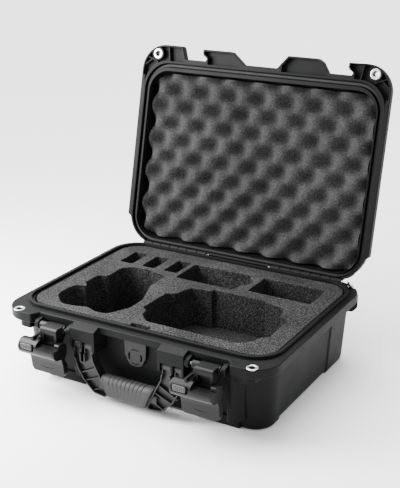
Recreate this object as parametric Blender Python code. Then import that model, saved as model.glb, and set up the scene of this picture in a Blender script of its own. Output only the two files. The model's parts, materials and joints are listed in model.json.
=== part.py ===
"""Hard carrying case for a small camera drone, standing open.

Frame: the origin is the middle of the underside, +X to the right, -Y to the front
(handle and latches), +Z up. Sizes below are in millimetres and are scaled to metres
when a mesh is written. The lid is modelled shut and swung open by its hinge empty.
"""
import math

import bmesh
import bpy
from mathutils import Matrix, Vector

MM = 0.001

# ---- driving dimensions, mm -------------------------------------------------------
RIM_Z = 92.0                 # top face of the base flange
FLANGE_X = 181.5             # half width over the flanges
FLANGE_FRONT = -147.0        # front of the base's corner flanges
FLANGE_EDGE = -136.0         # front of the base flange between the corners
FLANGE_BACK = 130.5
FLANGE_UNDER = 80.0          # underside of the flange band
CAVITY = (167.5, 117.0)      # half sizes of the cavity at the rim
CAVITY_FLOOR = (162.5, 113.0)
FLOOR_T = 3.0
BODY_FRONT = -124.0
BODY_BACK = 122.0
GAP = 0.3                    # clearance between parts that rest on each other

RIDGE_IN = (169.0, -122.0, 117.2)    # half width, front, back of the sealing ridge
RIDGE_T = 4.0
RIDGE_R = 32.0               # inner corner radius of the ridge
RIDGE_TOP = 96.0

LID_RIM_Z = 92.3             # lid rim plane, lid shut
LID_FLANGE_T = 9.7
LID_TOP = 119.0
LID_FRONT = -151.0
LID_LOW_FRONT = -134.0
LID_BACK = 125.2

HINGE = (125.5, 94.0)        # y, z of the hinge axis
LID_OPEN_DEG = 103.16
KNUCKLE_R = 3.9
KNUCKLES = (48.0, 63.0, 79.0, 93.0, 107.0, 121.0, 135.0, 150.0)   # |x| of the joints
KNUCKLE_GAP = 0.4

HANDLE = (-140.0, 68.0)      # y, z of the handle pivot
LATCH_X = 105.0
LATCH_PIN = (-142.0, 80.0)   # y, z where the latch link is hinged on the base
LEVER_PIN = (-155.0, 63.0)   # y, z where the lever is hinged on the link
BAR = (-165.0, 61.5)         # y, z of the lever's bar
EYELET = (158.5, -138.5)     # padlock eyelets
STRAP_EYELET = (164.8, 121.4, 91.0)
STRAP_OUT = (0.84, 0.543)    # the way the rear lug points, seen from above

FOAM_TOP = 93.2
PAD_T = 3.0
LID_FOAM = (163.0, 113.0)
CRATE_PITCH = (42.0, 46.0)   # egg-crate wave lengths along X and Y
CRATE_PEAK = 96.0            # lid shut
CRATE_DEPTH = 17.0

ARC_STEP = 18.0              # degrees per chord on filleted outlines


# ---- outlines ---------------------------------------------------------------------
def fillet(corners, step=ARC_STEP):
    """Closed outline through (x, y, radius) corners, radius 0 for a sharp one."""
    points = []
    count = len(corners)
    for i, (x, y, radius) in enumerate(corners):
        here = Vector((x, y))
        back = Vector(corners[i - 1][:2]) - here
        ahead = Vector(corners[(i + 1) % count][:2]) - here
        if radius <= 0:
            points.append((x, y))
            continue
        turn = back.angle(ahead)
        reach = radius / math.tan(turn / 2)
        middle = here + (back.normalized() + ahead.normalized()).normalized() * (
            radius / math.sin(turn / 2))
        start = here + back.normalized() * reach - middle
        end = here + ahead.normalized() * reach - middle
        sweep = start.angle_signed(end)
        chords = max(1, round(abs(math.degrees(sweep)) / step))
        for k in range(chords + 1):
            spoke = start.copy()
            spoke.rotate(Matrix.Rotation(-sweep * k / chords, 2))
            points.append(tuple(middle + spoke))
    return points


def mirrored(half):
    """Corner list of a shape that is symmetric in x, from its x > 0 half."""
    return half + [(-x, y, r) for x, y, r in reversed(half) if abs(x) > 1e-9]


def round_rect(x0, x1, y0, y1, radius, chords=6):
    """Rounded rectangle with the same number of points whatever its size."""
    points = []
    for cx, cy, first in ((x1 - radius, y1 - radius, 0), (x0 + radius, y1 - radius, 90),
                          (x0 + radius, y0 + radius, 180), (x1 - radius, y0 + radius, 270)):
        for k in range(chords + 1):
            a = math.radians(first + 90 * k / chords)
            points.append((cx + radius * math.cos(a), cy + radius * math.sin(a)))
    return points


def circle(cx, cy, radius, segments):
    return [(cx + radius * math.cos(2 * math.pi * (k + 0.5) / segments),
             cy + radius * math.sin(2 * math.pi * (k + 0.5) / segments))
            for k in range(segments)]


# ---- solids -----------------------------------------------------------------------
def new_object(name, vertices, faces):
    """Object from millimetre vertices, with its faces turned outwards."""
    mesh = bpy.data.meshes.new(name)
    bm = bmesh.new()
    made = [bm.verts.new(Vector(v) * MM) for v in vertices]
    for face in faces:
        bm.faces.new([made[i] for i in face])
    bmesh.ops.recalc_face_normals(bm, faces=bm.faces)
    bm.to_mesh(mesh)
    bm.free()
    obj = bpy.data.objects.new(name, mesh)
    bpy.context.collection.objects.link(obj)
    return obj


def loft(name, rings):
    """Solid skinned over rings of equal length, closed at both ends."""
    size = len(rings[0])
    vertices = [p for ring in rings for p in ring]
    faces = [list(range(size))[::-1],
             [(len(rings) - 1) * size + i for i in range(size)]]
    for r in range(len(rings) - 1):
        for i in range(size):
            j = (i + 1) % size
            faces.append([r * size + i, r * size + j,
                          (r + 1) * size + j, (r + 1) * size + i])
    return new_object(name, vertices, faces)


def prism(name, outline, low, high, axis="Z"):
    """Outline extruded along an axis: (x, y) for Z, (x, z) for Y and (y, z) for X."""
    place = {"X": lambda a, b, h: (h, a, b),
             "Y": lambda a, b, h: (a, h, b),
             "Z": lambda a, b, h: (a, b, h)}[axis]
    return loft(name, [[place(a, b, h) for a, b in outline] for h in (low, high)])


def box(name, x0, x1, y0, y1, z0, z1):
    return prism(name, [(x0, y0), (x1, y0), (x1, y1), (x0, y1)], z0, z1)


def rod(name, axis, a, b, radius, low, high, segments=16):
    """Cylinder along an axis; a and b are its place in the other two coordinates."""
    return prism(name, circle(a, b, radius, segments), low, high, axis)


def ring(name, profile, centre, segments=24, turn=None):
    """Closed (radius, height) profile turned about Z, then placed at centre."""
    size = len(profile)
    vertices = []
    for k in range(segments):
        a = 2 * math.pi * (k + 0.5) / segments
        vertices += [Vector((r * math.cos(a), r * math.sin(a), h)) for r, h in profile]
    if turn is not None:
        vertices = [turn @ v for v in vertices]
    vertices = [v + Vector(centre) for v in vertices]
    faces = []
    for k in range(segments):
        n = (k + 1) % segments
        for i in range(size):
            j = (i + 1) % size
            faces.append([k * size + i, n * size + i, n * size + j, k * size + j])
    return new_object(name, vertices, faces)


def combine(target, tools, operation):
    """Joins the tools to the target or cuts them from it, and removes the tools."""
    for tool in tools:
        step = target.modifiers.new("step", "BOOLEAN")
        step.operation = operation
        step.solver = "EXACT"
        step.object = tool
    shape = target.evaluated_get(bpy.context.evaluated_depsgraph_get())
    mesh = bpy.data.meshes.new_from_object(shape)
    target.modifiers.clear()
    old = target.data
    target.data = mesh
    mesh.name = target.name
    bpy.data.meshes.remove(old)
    for tool in tools:
        bpy.data.objects.remove(tool)
    return target


def add(target, *tools):
    return combine(target, tools, "UNION")


def cut(target, *tools):
    return combine(target, tools, "DIFFERENCE")


# ---- finishing --------------------------------------------------------------------
def plastic(name, grey, roughness, tint=(1.0, 1.0, 1.0), metallic=0.0):
    material = bpy.data.materials.new(name)
    material.use_nodes = True
    shader = material.node_tree.nodes["Principled BSDF"]
    colour = [grey * t for t in tint] + [1.0]
    shader.inputs["Base Color"].default_value = colour
    shader.inputs["Roughness"].default_value = roughness
    shader.inputs["Metallic"].default_value = metallic
    material.diffuse_color = colour
    return material


def axis_empty(name, x, y, z, parent=None):
    """Empty on a joint's axis; a child of another axis is placed relative to it."""
    empty = bpy.data.objects.new(name, None)
    bpy.context.collection.objects.link(empty)
    empty["pivot_mm"] = (x, y, z)
    origin = Vector((x, y, z))
    if parent is not None:
        empty.parent = parent
        origin -= Vector(parent["pivot_mm"])
    empty.location = origin * MM
    return empty


def finish(obj, material, axis=None, smooth=30.0):
    """Cleans the mesh, gives it its material and hangs it on its joint's axis."""
    bm = bmesh.new()
    bm.from_mesh(obj.data)
    bmesh.ops.remove_doubles(bm, verts=bm.verts, dist=2e-6)
    bmesh.ops.dissolve_degenerate(bm, edges=bm.edges, dist=2e-6)
    bmesh.ops.dissolve_limit(bm, angle_limit=math.radians(0.2), use_dissolve_boundaries=False,
                             verts=bm.verts, edges=bm.edges, delimit=set())
    bmesh.ops.recalc_face_normals(bm, faces=bm.faces)
    bm.to_mesh(obj.data)
    bm.free()
    if axis is not None:
        pivot = Vector(axis["pivot_mm"]) * MM
        obj.data.transform(Matrix.Translation(-pivot))
        obj.parent = axis
    obj.data.materials.clear()
    obj.data.materials.append(material)
    obj.data.shade_smooth()
    obj.data.set_sharp_from_angle(angle=math.radians(smooth))
    return obj


# ---- outlines of the case ---------------------------------------------------------
def base_flange():
    half = [(0.0, FLANGE_BACK, 0), (FLANGE_X, FLANGE_BACK, 38), (FLANGE_X, FLANGE_FRONT, 33),
            (135.5, FLANGE_FRONT, 3), (129.5, FLANGE_EDGE, 2)]
    return fillet(mirrored(half), 10)


def latch_gap(x):
    """Notch in the lid's front flange that a latch link passes through."""
    return [(x - 9.2, LID_LOW_FRONT, 1.5), (x + 22.0, LID_LOW_FRONT, 0), (x + 24.0, -137.5, 1),
            (x + 18.0, -141.5, 0), (x + 17.0, -144.0, 1), (x + 17.0, LID_FRONT + 1.5, 1)]


def lid_flange():
    """Lid outline, clockwise seen from above; its rear corners clear the strap lug."""
    rear = [(149.0, LID_BACK, 3), (151.5, 121.6, 2), (157.0, 119.8, 3), (161.0, 116.8, 4),
            (164.8, 111.8, 4), (170.5, 105.0, 4), (174.5, 98.0, 4), (177.0, 91.5, 3),
            (FLANGE_X, 88.0, 3)]
    return fillet(
        rear + [(FLANGE_X, LID_FRONT, 35)]
        + [(x, y, r) for x, y, r in reversed(latch_gap(LATCH_X))]
        + [(87.0, -147.0, 3), (80.0, LID_FRONT, 3), (38.0, LID_FRONT, 3), (28.0, -139.0, 3),
           (24.0, LID_LOW_FRONT, 2), (-24.0, LID_LOW_FRONT, 2), (-28.0, -137.0, 3),
           (-44.0, LID_FRONT + 1.5, 3)]
        + [(x, y, r) for x, y, r in reversed(latch_gap(-LATCH_X))]
        + [(-120.0, LID_FRONT, 3), (-FLANGE_X, LID_FRONT, 35)]
        + [(-x, y, r) for x, y, r in reversed(rear)], 12)


def band(name, inner, thickness, z0, z1, radius):
    """Ring of even thickness around the cavity, inner = half width, front, back."""
    half, front, back = inner
    t = thickness
    outer = prism(name, round_rect(-half - t, half + t, front - t, back + t, radius + t), z0, z1)
    hole = prism("hole", round_rect(-half, half, front, back, radius), z0 - 1, z1 + 1)
    return cut(outer, hole)


# ---- base -------------------------------------------------------------------------
def body_ring(inset, z, radius):
    """Horizontal section of the tapered body, inset from its widest outline."""
    return [(x, y, z) for x, y in round_rect(-171 + inset, 171 - inset, BODY_FRONT + inset,
                                             BODY_BACK - inset, radius)]


def cavity(name, top):
    floor_x, floor_y = CAVITY_FLOOR
    top_x, top_y = CAVITY
    rings = [(floor_x - 5, floor_y - 5, 17, FLOOR_T), (floor_x - 1.5, floor_y - 1.5, 21, FLOOR_T + 1.6),
             (floor_x, floor_y, 24, FLOOR_T + 5), (top_x, top_y, 30, RIM_Z), (top_x, top_y, 30, top)]
    return loft(name, [[(x, y, z) for x, y in round_rect(-hx, hx, -hy, hy, r)]
                       for hx, hy, r, z in rings])


def side_recess(sign):
    """Shallow panel between the corner feet and pillars of a side wall, open below."""
    wall = [(157.0, -1.0), (157.0, 0.8), (161.8, 2.4), (164.1, 6.5), (164.2, 12.0), (169.2, 79.5),
            (190.0, 79.5), (190.0, -1.0)]
    return prism("recess", [(sign * x, z) for x, z in wall], -82.5, 50.0, "Y")


def strap_lug():
    """Diagonal fin on the right rear corner, its slanted top square to the eyelet."""
    x, y, z = STRAP_EYELET
    out = Vector(STRAP_OUT + (0.0,))
    across = Vector((-out.y, out.x, 0.0))
    centre = Vector((x, y, 0.0))
    profile = fillet([(-16.0, 62.0, 0), (2.0, 60.0, 3), (8.0, 66.0, 4), (8.0, z - 7.5, 4),
                      (-4.6, z + 7.5, 0), (-4.6, RIM_Z - 0.5, 0), (-16.0, RIM_Z - 0.5, 0)], 30)
    rings = []
    for side in (-7.2, 7.2):
        points = [centre + out * d + across * side + Vector((0, 0, h)) for d, h in profile]
        rings.append([(p.x, p.y, p.z) for p in points])
    return loft("lug", rings)


def eyelet_turn():
    """Rotation that takes +Z to the strap eyelet's outward axis."""
    out = Vector((STRAP_OUT[0] * 0.766, STRAP_OUT[1] * 0.766, 0.643))
    return out.to_track_quat("Z", "Y").to_matrix()


def base_shell(material):
    shell = loft("base_shell", [body_ring(11, 0.0, 20), body_ring(7.6, 1.4, 23), body_ring(5.9, 5.0, 25),
                                body_ring(5, 12.0, 26), body_ring(0, 82.0, 30)])
    flange = prism("flange", base_flange(), FLANGE_UNDER, RIM_Z)
    ridge_half, ridge_front, ridge_back = RIDGE_IN
    ridge = prism("ridge", round_rect(-ridge_half - RIDGE_T, ridge_half + RIDGE_T, ridge_front - RIDGE_T,
                                      ridge_back + RIDGE_T, RIDGE_R + RIDGE_T), RIM_Z - 2, RIDGE_TOP)
    add(shell, flange, ridge, strap_lug())
    for sign in (-1, 1):
        add(shell, *front_blocks(sign))
        knuckles = [(a, b) for a, b in zip(KNUCKLES[0::2], KNUCKLES[1::2])]
        for a, b in knuckles:
            low, high = sorted((sign * a, sign * b))
            barrel = rod("barrel", "X", *HINGE, KNUCKLE_R, low, high)
            foot = box("foot", low, high, HINGE[0] - 4.1, HINGE[0] + 4.1, RIM_Z - 3, HINGE[1])
            add(shell, add(barrel, foot))
    cut(shell, cavity("cavity", RIDGE_TOP + 4))
    step = prism("step", round_rect(-ridge_half, ridge_half, ridge_front, ridge_back, RIDGE_R), RIM_Z, 110)
    cut(shell, step)
    for sign in (-1, 1):
        cut(shell, side_recess(sign))
        cut(shell, *front_cuts(sign))
        for a, b in zip(KNUCKLES[1::2], KNUCKLES[2::2]):
            low, high = sorted((sign * (a - KNUCKLE_GAP), sign * (b + KNUCKLE_GAP)))
            cut(shell, rod("clear", "X", *HINGE, KNUCKLE_R + 0.8, low, high, 20))
        low, high = sorted((sign * (KNUCKLES[0] - 2), sign * (KNUCKLES[-1] + 9)))
        cut(shell, rod("bore", "X", *HINGE, 2.1, low, high, 12))
        x, y = EYELET
        cut(shell, ring_hole(sign * x, y, 5.4, FLANGE_UNDER - 1, RIM_Z + 1),
            ring_hole(sign * x, y, 7.4, RIM_Z - 1.3, RIM_Z + 1),
            ring_hole(sign * x, y, 3.8, 60.0, FLANGE_UNDER))
    place = Matrix.Translation(Vector(STRAP_EYELET) * MM) @ eyelet_turn().to_4x4()
    hole = rod("hole", "Z", 0, 0, 4.9, -9, 20, 20)
    rest = rod("rest", "Z", 0, 0, 7.2, 1.3, 20, 24)
    for tool in (hole, rest):
        tool.data.transform(place)
    cut(shell, hole, rest)
    centre = box("centre", -43, 43, -160, -121.5, 14, 83.5)
    relief_front = box("relief", -78, 78, -160, -112.4, -1, 4.0)
    relief_back = box("relief", -118, 118, 111.4, 160, -1, 4.0)
    cut(shell, centre, relief_front, relief_back)
    valve_hole = rod("valve_hole", "Y", 0, 59.5, 6.5, -123, -110, 20)
    seat = rod("seat", "Y", 0, 59.5, 8.8, -123, -119.4, 24)
    cut(shell, valve_hole, seat)
    return finish(shell, material)


def ring_hole(x, y, radius, z0, z1):
    return rod("hole", "Z", x, y, radius, z0, z1, 24)


def front_blocks(sign):
    """Handle block, pillars and latch ears on one side of the front."""
    def solid(name, x0, x1, profile):
        low, high = sorted((sign * x0, sign * x1))
        return prism(name, profile, low, high, "X")

    handle = solid("block", 43.0, 78.0, fillet(
        [(-120.0, 60.0, 0), (-147.0, 62.0, 2), (-147.0, 88.0, 2), (-136.5, RIM_Z - 0.6, 0), (-120.0, 91.0, 0)]))
    inner = solid("pillar", 77.0, 84.0, fillet(
        [(-120.0, 14.0, 0), (-130.0, 16.0, 5), (-134.0, 30.0, 8), (-134.5, 85.0, 0), (-120.0, 86.0, 0)]))
    outer = prism("pillar", fillet(
        [(sign * x, y, r) for x, y, r in ((124.5, -118.0, 0), (124.5, -135.5, 4), (134.0, -135.5, 9),
                                          (142.0, -122.0, 0), (140.0, -116.0, 0))]), 14.0, 84.0)
    lug = prism("lug", fillet([(sign * x, y, r) for x, y, r in (
        (139.0, -120.0, 0), (139.0, -143.0, 2), (158.0, -143.0, 12), (164.0, -120.0, 0))]), 71.0, 84.0)
    foot = solid("foot", 79.0, 134.0, fillet(
        [(-108.0, 0.0, 0), (-119.5, 0.0, 2), (-122.0, 6.0, 2), (-122.5, 14.0, 0), (-108.0, 14.0, 0)]))
    parts = [handle, inner, outer, lug, foot]
    for x0, x1 in ((78.5, 84.0), (124.0, 129.8)):
        y, z = LATCH_PIN
        parts.append(solid("ear", x0, x1, fillet(
            [(y - 5, z - 5, 4.9), (y - 5, z + 5, 4.9), (y + 9, z + 8, 0), (y + 18, z + 5, 0),
             (y + 18, z - 20, 0), (y + 8, z - 8, 3)], 24)))
    return parts


def front_cuts(sign):
    """Prong slots and pin bores of one side of the front."""
    def slot(x0, x1):
        low, high = sorted((sign * x0, sign * x1))
        return box("slot", low, high, -170, HANDLE[0] + 5.4, 50, HANDLE[1] + 5.0)

    def bore(x0, x1, centre, radius):
        low, high = sorted((sign * x0, sign * x1))
        return rod("bore", "X", *centre, radius, low, high, 12)

    return [slot(46.8, 60.6), slot(63.4, 75.0),
            bore(44.4, 77.0, HANDLE, 2.2),
            bore(79.6, 128.8, LATCH_PIN, 2.2),
            box("latch_pocket", *sorted((sign * 84.0, sign * 124.5)), -150, -122.2, 12, 84.0)]


# ---- foam -------------------------------------------------------------------------
def drone_pocket():
    return fillet([
        (-58, 33, 4), (-86, 42, 14), (-113, 40, 12), (-124, 29, 8), (-123, -2, 5), (-136, -7, 8),
        (-136.5, -34, 8), (-126, -43, 2.5), (-144, -47, 14), (-144, -82, 22), (-122, -104, 18),
        (-100, -101, 10), (-88, -96, 15), (-73, -103, 12), (-56, -103, 12), (-41.5, -74, 15),
        (-41.5, -46, 16), (-57, -4, 14)], 20)


def controller_pocket():
    middle = 57.0
    half = [(0, 24.5, 0), (37, 24.5, 2), (37, 19.5, 2), (65, 15.5, 8), (72, -9, 6), (83.5, -14, 4),
            (85, -65, 4), (77, -70, 5), (74, -83, 10), (60, -97, 14)]
    return fillet([(middle + x, y, r) for x, y, r in mirrored(half)], 20)


def base_foam(material):
    def foam_ring(hx, hy, radius, z):
        return [(x, y, z) for x, y in round_rect(-hx, hx, -hy, hy, radius)]

    low = FLOOR_T + GAP + PAD_T + GAP
    foam = loft("base_foam", [foam_ring(160.6, 111.1, 23, low), foam_ring(161.0, 111.5, 23, 9.0),
                              foam_ring(165.6, 115.2, 28, FOAM_TOP - 1.0), foam_ring(164.8, 114.4, 27, FOAM_TOP)])
    pockets = [(drone_pocket(), 34.0), (controller_pocket(), 42.0),
               (round_rect(-44, 41, 37, 89.5, 4, 3), 32.0),
               (circle(37.0, 69.0, 14.5, 20), 40.0),
               (round_rect(58, 143.5, 42.5, 90, 3, 3), 36.0),
               (round_rect(-13.7, 12.0, -130, -108.7, 1.5, 2), 62.0)]
    pockets += [(round_rect(x, x + 19.5, 50.0, 90.0, 1.5, 2), 52.0) for x in (-140.5, -105.5, -71.0)]
    cut(foam, *[prism("pocket", outline, floor, FOAM_TOP + 5) for outline, floor in pockets])
    return finish(foam, material, smooth=25)


def base_pad(material):
    low = FLOOR_T + GAP
    pad = prism("base_pad", round_rect(-156.5, 156.5, -107, 107, 16), low, low + PAD_T)
    return finish(pad, material)


# ---- valve ------------------------------------------------------------------------
def valve(cover_material, core_material, seal_material):
    y = -121.8
    plate = prism("valve_cover", fillet([(-15.5, 79.0, 2), (15.5, 79.0, 2), (14.5, 60.0, 6),
                                         (8.0, 47.0, 10), (-8.0, 47.0, 10), (-14.5, 60.0, 6)]), y - 3.4, y, "Y")
    slots = []
    for quarter in range(4):
        inner, outer = [], []
        for k in range(5):
            a = math.radians(90 * quarter + 14 + 15.5 * k)
            inner.append((7.8 * math.cos(a), 59.5 + 7.8 * math.sin(a)))
            outer.append((9.6 * math.cos(a), 59.5 + 9.6 * math.sin(a)))
        slots.append(prism("arc", inner + outer[::-1], y - 5, y + 1, "Y"))
    cut(plate, *slots)
    finish(plate, cover_material)
    core = rod("valve_core", "Y", 0, 59.5, 6.1, -121.3, -115.8, 20)
    add(core, rod("rim", "Y", 0, 59.5, 4.0, -115.9, -115.3, 12))
    finish(core, core_material)
    section = circle(7.5, 0, 0.8, 6)
    seal = ring("valve_seal", section, (0, -120.5, 59.5), 18, Matrix.Rotation(math.radians(90), 3, "X"))
    finish(seal, seal_material, smooth=60)


# ---- small metal parts ------------------------------------------------------------
def eyelet(name, centre, length, material, axis=None, turn=None, size=1.0):
    """Flanged steel bush, its lower rim one length below the upper one."""
    bore, shank, rim, lip = 3.4 * size, 5.0 * size, 7.0 * size, 1.0
    profile = [(bore, -length), (shank, -length), (shank, -lip), (rim, -lip),
               (rim - 0.6, 0.0), (bore + 0.9, 0.0), (bore, -0.9)]
    bush = ring(name, profile, centre, 18, turn)
    return finish(bush, material, axis, smooth=40)


def pin(name, low, high, centre, radius, material, axis=None):
    return finish(rod(name, "X", *centre, radius, low, high, 12), material, axis)


# ---- lid --------------------------------------------------------------------------
def lid_shell(material, axis):
    def section(inset, z, radius):
        return [(x, y, z) for x, y in round_rect(-170.5 + inset, 170.5 - inset, -124.5 + inset,
                                                 LID_BACK - 0.6 - inset * 0.6, radius)]

    shell = prism("lid_shell", lid_flange(), LID_RIM_Z, LID_RIM_Z + LID_FLANGE_T)
    crown = loft("crown", [section(0, LID_RIM_Z + 3, 33), section(1.5, 112.0, 32),
                           section(4.5, 117.2, 29), section(10, LID_TOP, 24)])
    add(shell, crown)
    half, front, back = RIDGE_IN
    clear = 0.8
    groove = band("groove", (half - clear, front + clear, back - clear), RIDGE_T + 2 * clear,
                  LID_RIM_Z - 1, 99.4, RIDGE_R - clear)
    hollow = loft("hollow", [[(x, y, z) for x, y in round_rect(-hx, hx, -hy, hy, r)] for hx, hy, r, z in (
        (166.6, 116.2, 29, LID_RIM_Z - 1), (166.6, 116.2, 29, 94.0), (164.5, 114.5, 27, 113.0),
        (160.0, 110.0, 23, LID_TOP - 3.0))])
    cut(shell, groove, hollow)
    for sign in (-1, 1):
        for a, b in zip(KNUCKLES[1::2], KNUCKLES[2::2]):
            low, high = sorted((sign * (a + KNUCKLE_GAP), sign * (b - KNUCKLE_GAP)))
            barrel = rod("barrel", "X", *HINGE, KNUCKLE_R, low, high)
            web = box("web", low, high, HINGE[0] - 3.6, HINGE[0] + 0.6, HINGE[1], HINGE[1] + 8)
            add(shell, add(barrel, web))
        for a, b in zip(KNUCKLES[0::2], KNUCKLES[1::2]):
            low, high = sorted((sign * (a - KNUCKLE_GAP), sign * (b + KNUCKLE_GAP)))
            cut(shell, rod("clear", "X", *HINGE, KNUCKLE_R + 2.0, low, high, 20))
        low, high = sorted((sign * (KNUCKLES[0] - 3), sign * (KNUCKLES[-1] + 3)))
        cut(shell, rod("bore", "X", *HINGE, 2.1, low, high, 12))
        x, y = EYELET
        cut(shell, ring_hole(sign * x, y, 5.4, LID_RIM_Z - 1, LID_RIM_Z + 12),
            ring_hole(sign * x, y, 7.4, LID_RIM_Z - 1, LID_RIM_Z + 1.3))
    return finish(shell, material, axis)


def lid_foam(material, axis):
    """Egg-crate pad: two crests and two hollows in each cell of the wave."""
    hx, hy = LID_FOAM
    back = LID_TOP - 3.0 - GAP
    middle = CRATE_PEAK + CRATE_DEPTH / 2
    nx, ny = 31, 20
    vertices, faces = [], []
    for j in range(ny + 1):
        for i in range(nx + 1):
            x = -hx + 2 * hx * i / nx
            y = -hy + 2 * hy * j / ny
            corner = max(0.0, math.hypot(max(0.0, abs(x) - hx + 22), max(0.0, abs(y) - hy + 22)) - 22)
            x -= math.copysign(corner * 0.7, x)
            y -= math.copysign(corner * 0.7, y)
            wave = math.cos(2 * math.pi * x / CRATE_PITCH[0]) * math.cos(2 * math.pi * y / CRATE_PITCH[1])
            vertices.append((x, y, middle + wave * CRATE_DEPTH / 2))
    stride = nx + 1
    for j in range(ny):
        for i in range(nx):
            a = j * stride + i
            faces.append([a, a + stride, a + stride + 1, a + 1])
    edge = (list(range(nx)) + [j * stride + nx for j in range(ny)]
            + [ny * stride + i for i in range(nx, 0, -1)] + [j * stride for j in range(ny, 0, -1)])
    shoulder = []
    for i in edge:
        x, y, z = vertices[i]
        shoulder.append(len(vertices))
        vertices.append((x * 0.965, y * 0.965, back))
    for k, i in enumerate(edge):
        n = (k + 1) % len(edge)
        faces.append([i, edge[n], shoulder[n], shoulder[k]])
    faces.append(shoulder[::-1])
    return finish(new_object("lid_foam", vertices, faces), material, axis, smooth=60)


def lid_gasket(material, axis):
    half, front, back = RIDGE_IN
    seal = band("lid_gasket", (half - 0.3, front + 0.3, back - 0.3), RIDGE_T + 0.6, 96.4, 99.1, RIDGE_R - 0.3)
    return finish(seal, material, axis)


# ---- handle -----------------------------------------------------------------------
def handle_arm(sign):
    """Forked C-section arm: two prongs above, one flat blade towards the grip."""
    y, pivot = HANDLE
    blade = [(46.0, 50.0, 3), (37.0, 33.0, 6), (27.0, 11.0, 2), (31.0, 8.0, 4), (47.0, 9.5, 10),
             (62.0, 24.0, 14), (70.0, 38.0, 12), (74.5, 54.0, 0), (74.5, 58.0, 3), (64.0, 58.0, 2),
             (64.0, 46.5, 1.9), (60.0, 46.5, 1.9), (60.0, 58.0, 2), (47.5, 58.0, 2)]
    arm = prism("arm", fillet([(sign * x, z, r) for x, z, r in blade], 20), y - 6, y + 6, "Y")
    ribs = fillet([(sign * x, z, r) for x, z, r in (
        (48.0, 46.0, 2), (42.5, 33.0, 6), (34.0, 18.0, 2), (46.0, 15.0, 6), (58.0, 27.0, 12),
        (66.0, 40.0, 6), (68.5, 45.0, 1.5), (62.0, 41.5, 3))], 20)
    cut(arm, prism("pocket", ribs, y - 8, y - 1.0, "Y"))
    for x0, x1 in ((47.5, 60.0), (64.0, 74.5)):
        low, high = sorted((sign * x0, sign * x1))
        prong = rod("prong", "X", y, pivot, 4.5, low, high, 20)
        shank = box("shank", low, high, y - 4.2, y + 4.2, 52.0, pivot)
        add(arm, add(prong, shank))
        window = box("window", *sorted((sign * (x0 + 3.2), sign * (x1 - 3.2))), y - 7, y - 1.5, 48.5, 63.0)
        cut(arm, window)
    for low_point, high_point in (((38.0, 31.5), (60.0, 22.5)), ((44.0, 42.0), (68.0, 30.0))):
        add(arm, rib(low_point, high_point, sign, y))
    cut(arm, rod("bore", "X", y, pivot, 2.3, *sorted((sign * 40, sign * 80)), 12))
    return arm


def rib(start, end, sign, y):
    """Thin cross rib in the hollow of a handle arm."""
    a, b = Vector(start), Vector(end)
    side = Vector((a.y - b.y, b.x - a.x)).normalized() * 0.7
    corners = [a + side, b + side, b - side, a - side]
    return prism("rib", [(sign * c.x, c.y) for c in corners], y - 5.0, y - 0.5, "Y")


def handle_frame(material, axis):
    y = HANDLE[0]
    frame = handle_arm(-1)
    frame.name = "handle_frame"
    core = prism("core", round_rect(y - 5, y + 5, 14.5, 28.5, 4, 3), -40.0, 40.0, "X")
    add(frame, core, handle_arm(1))
    return finish(frame, material, axis)


def handle_grip(material, axis):
    """Rubber sleeve with slanted ends over the handle's core."""
    y = HANDLE[0]
    section = round_rect(y - 9.5, y + 9.5, 8.0, 35.0, 8.5, 4)
    slope = (38.5 - 25.0) / 27.0
    rings = []
    for sign in (-1, 1):
        rings.append([(sign * (24.6 + (z - 8.0) * slope * 0.86), a, z) for a, z in section])
    grip = loft("handle_grip", rings)
    cut(grip, prism("bore", round_rect(y - 5.3, y + 5.3, 14.2, 28.8, 4.3, 3), -60.0, 60.0, "X"))
    return finish(grip, material, axis)


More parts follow.
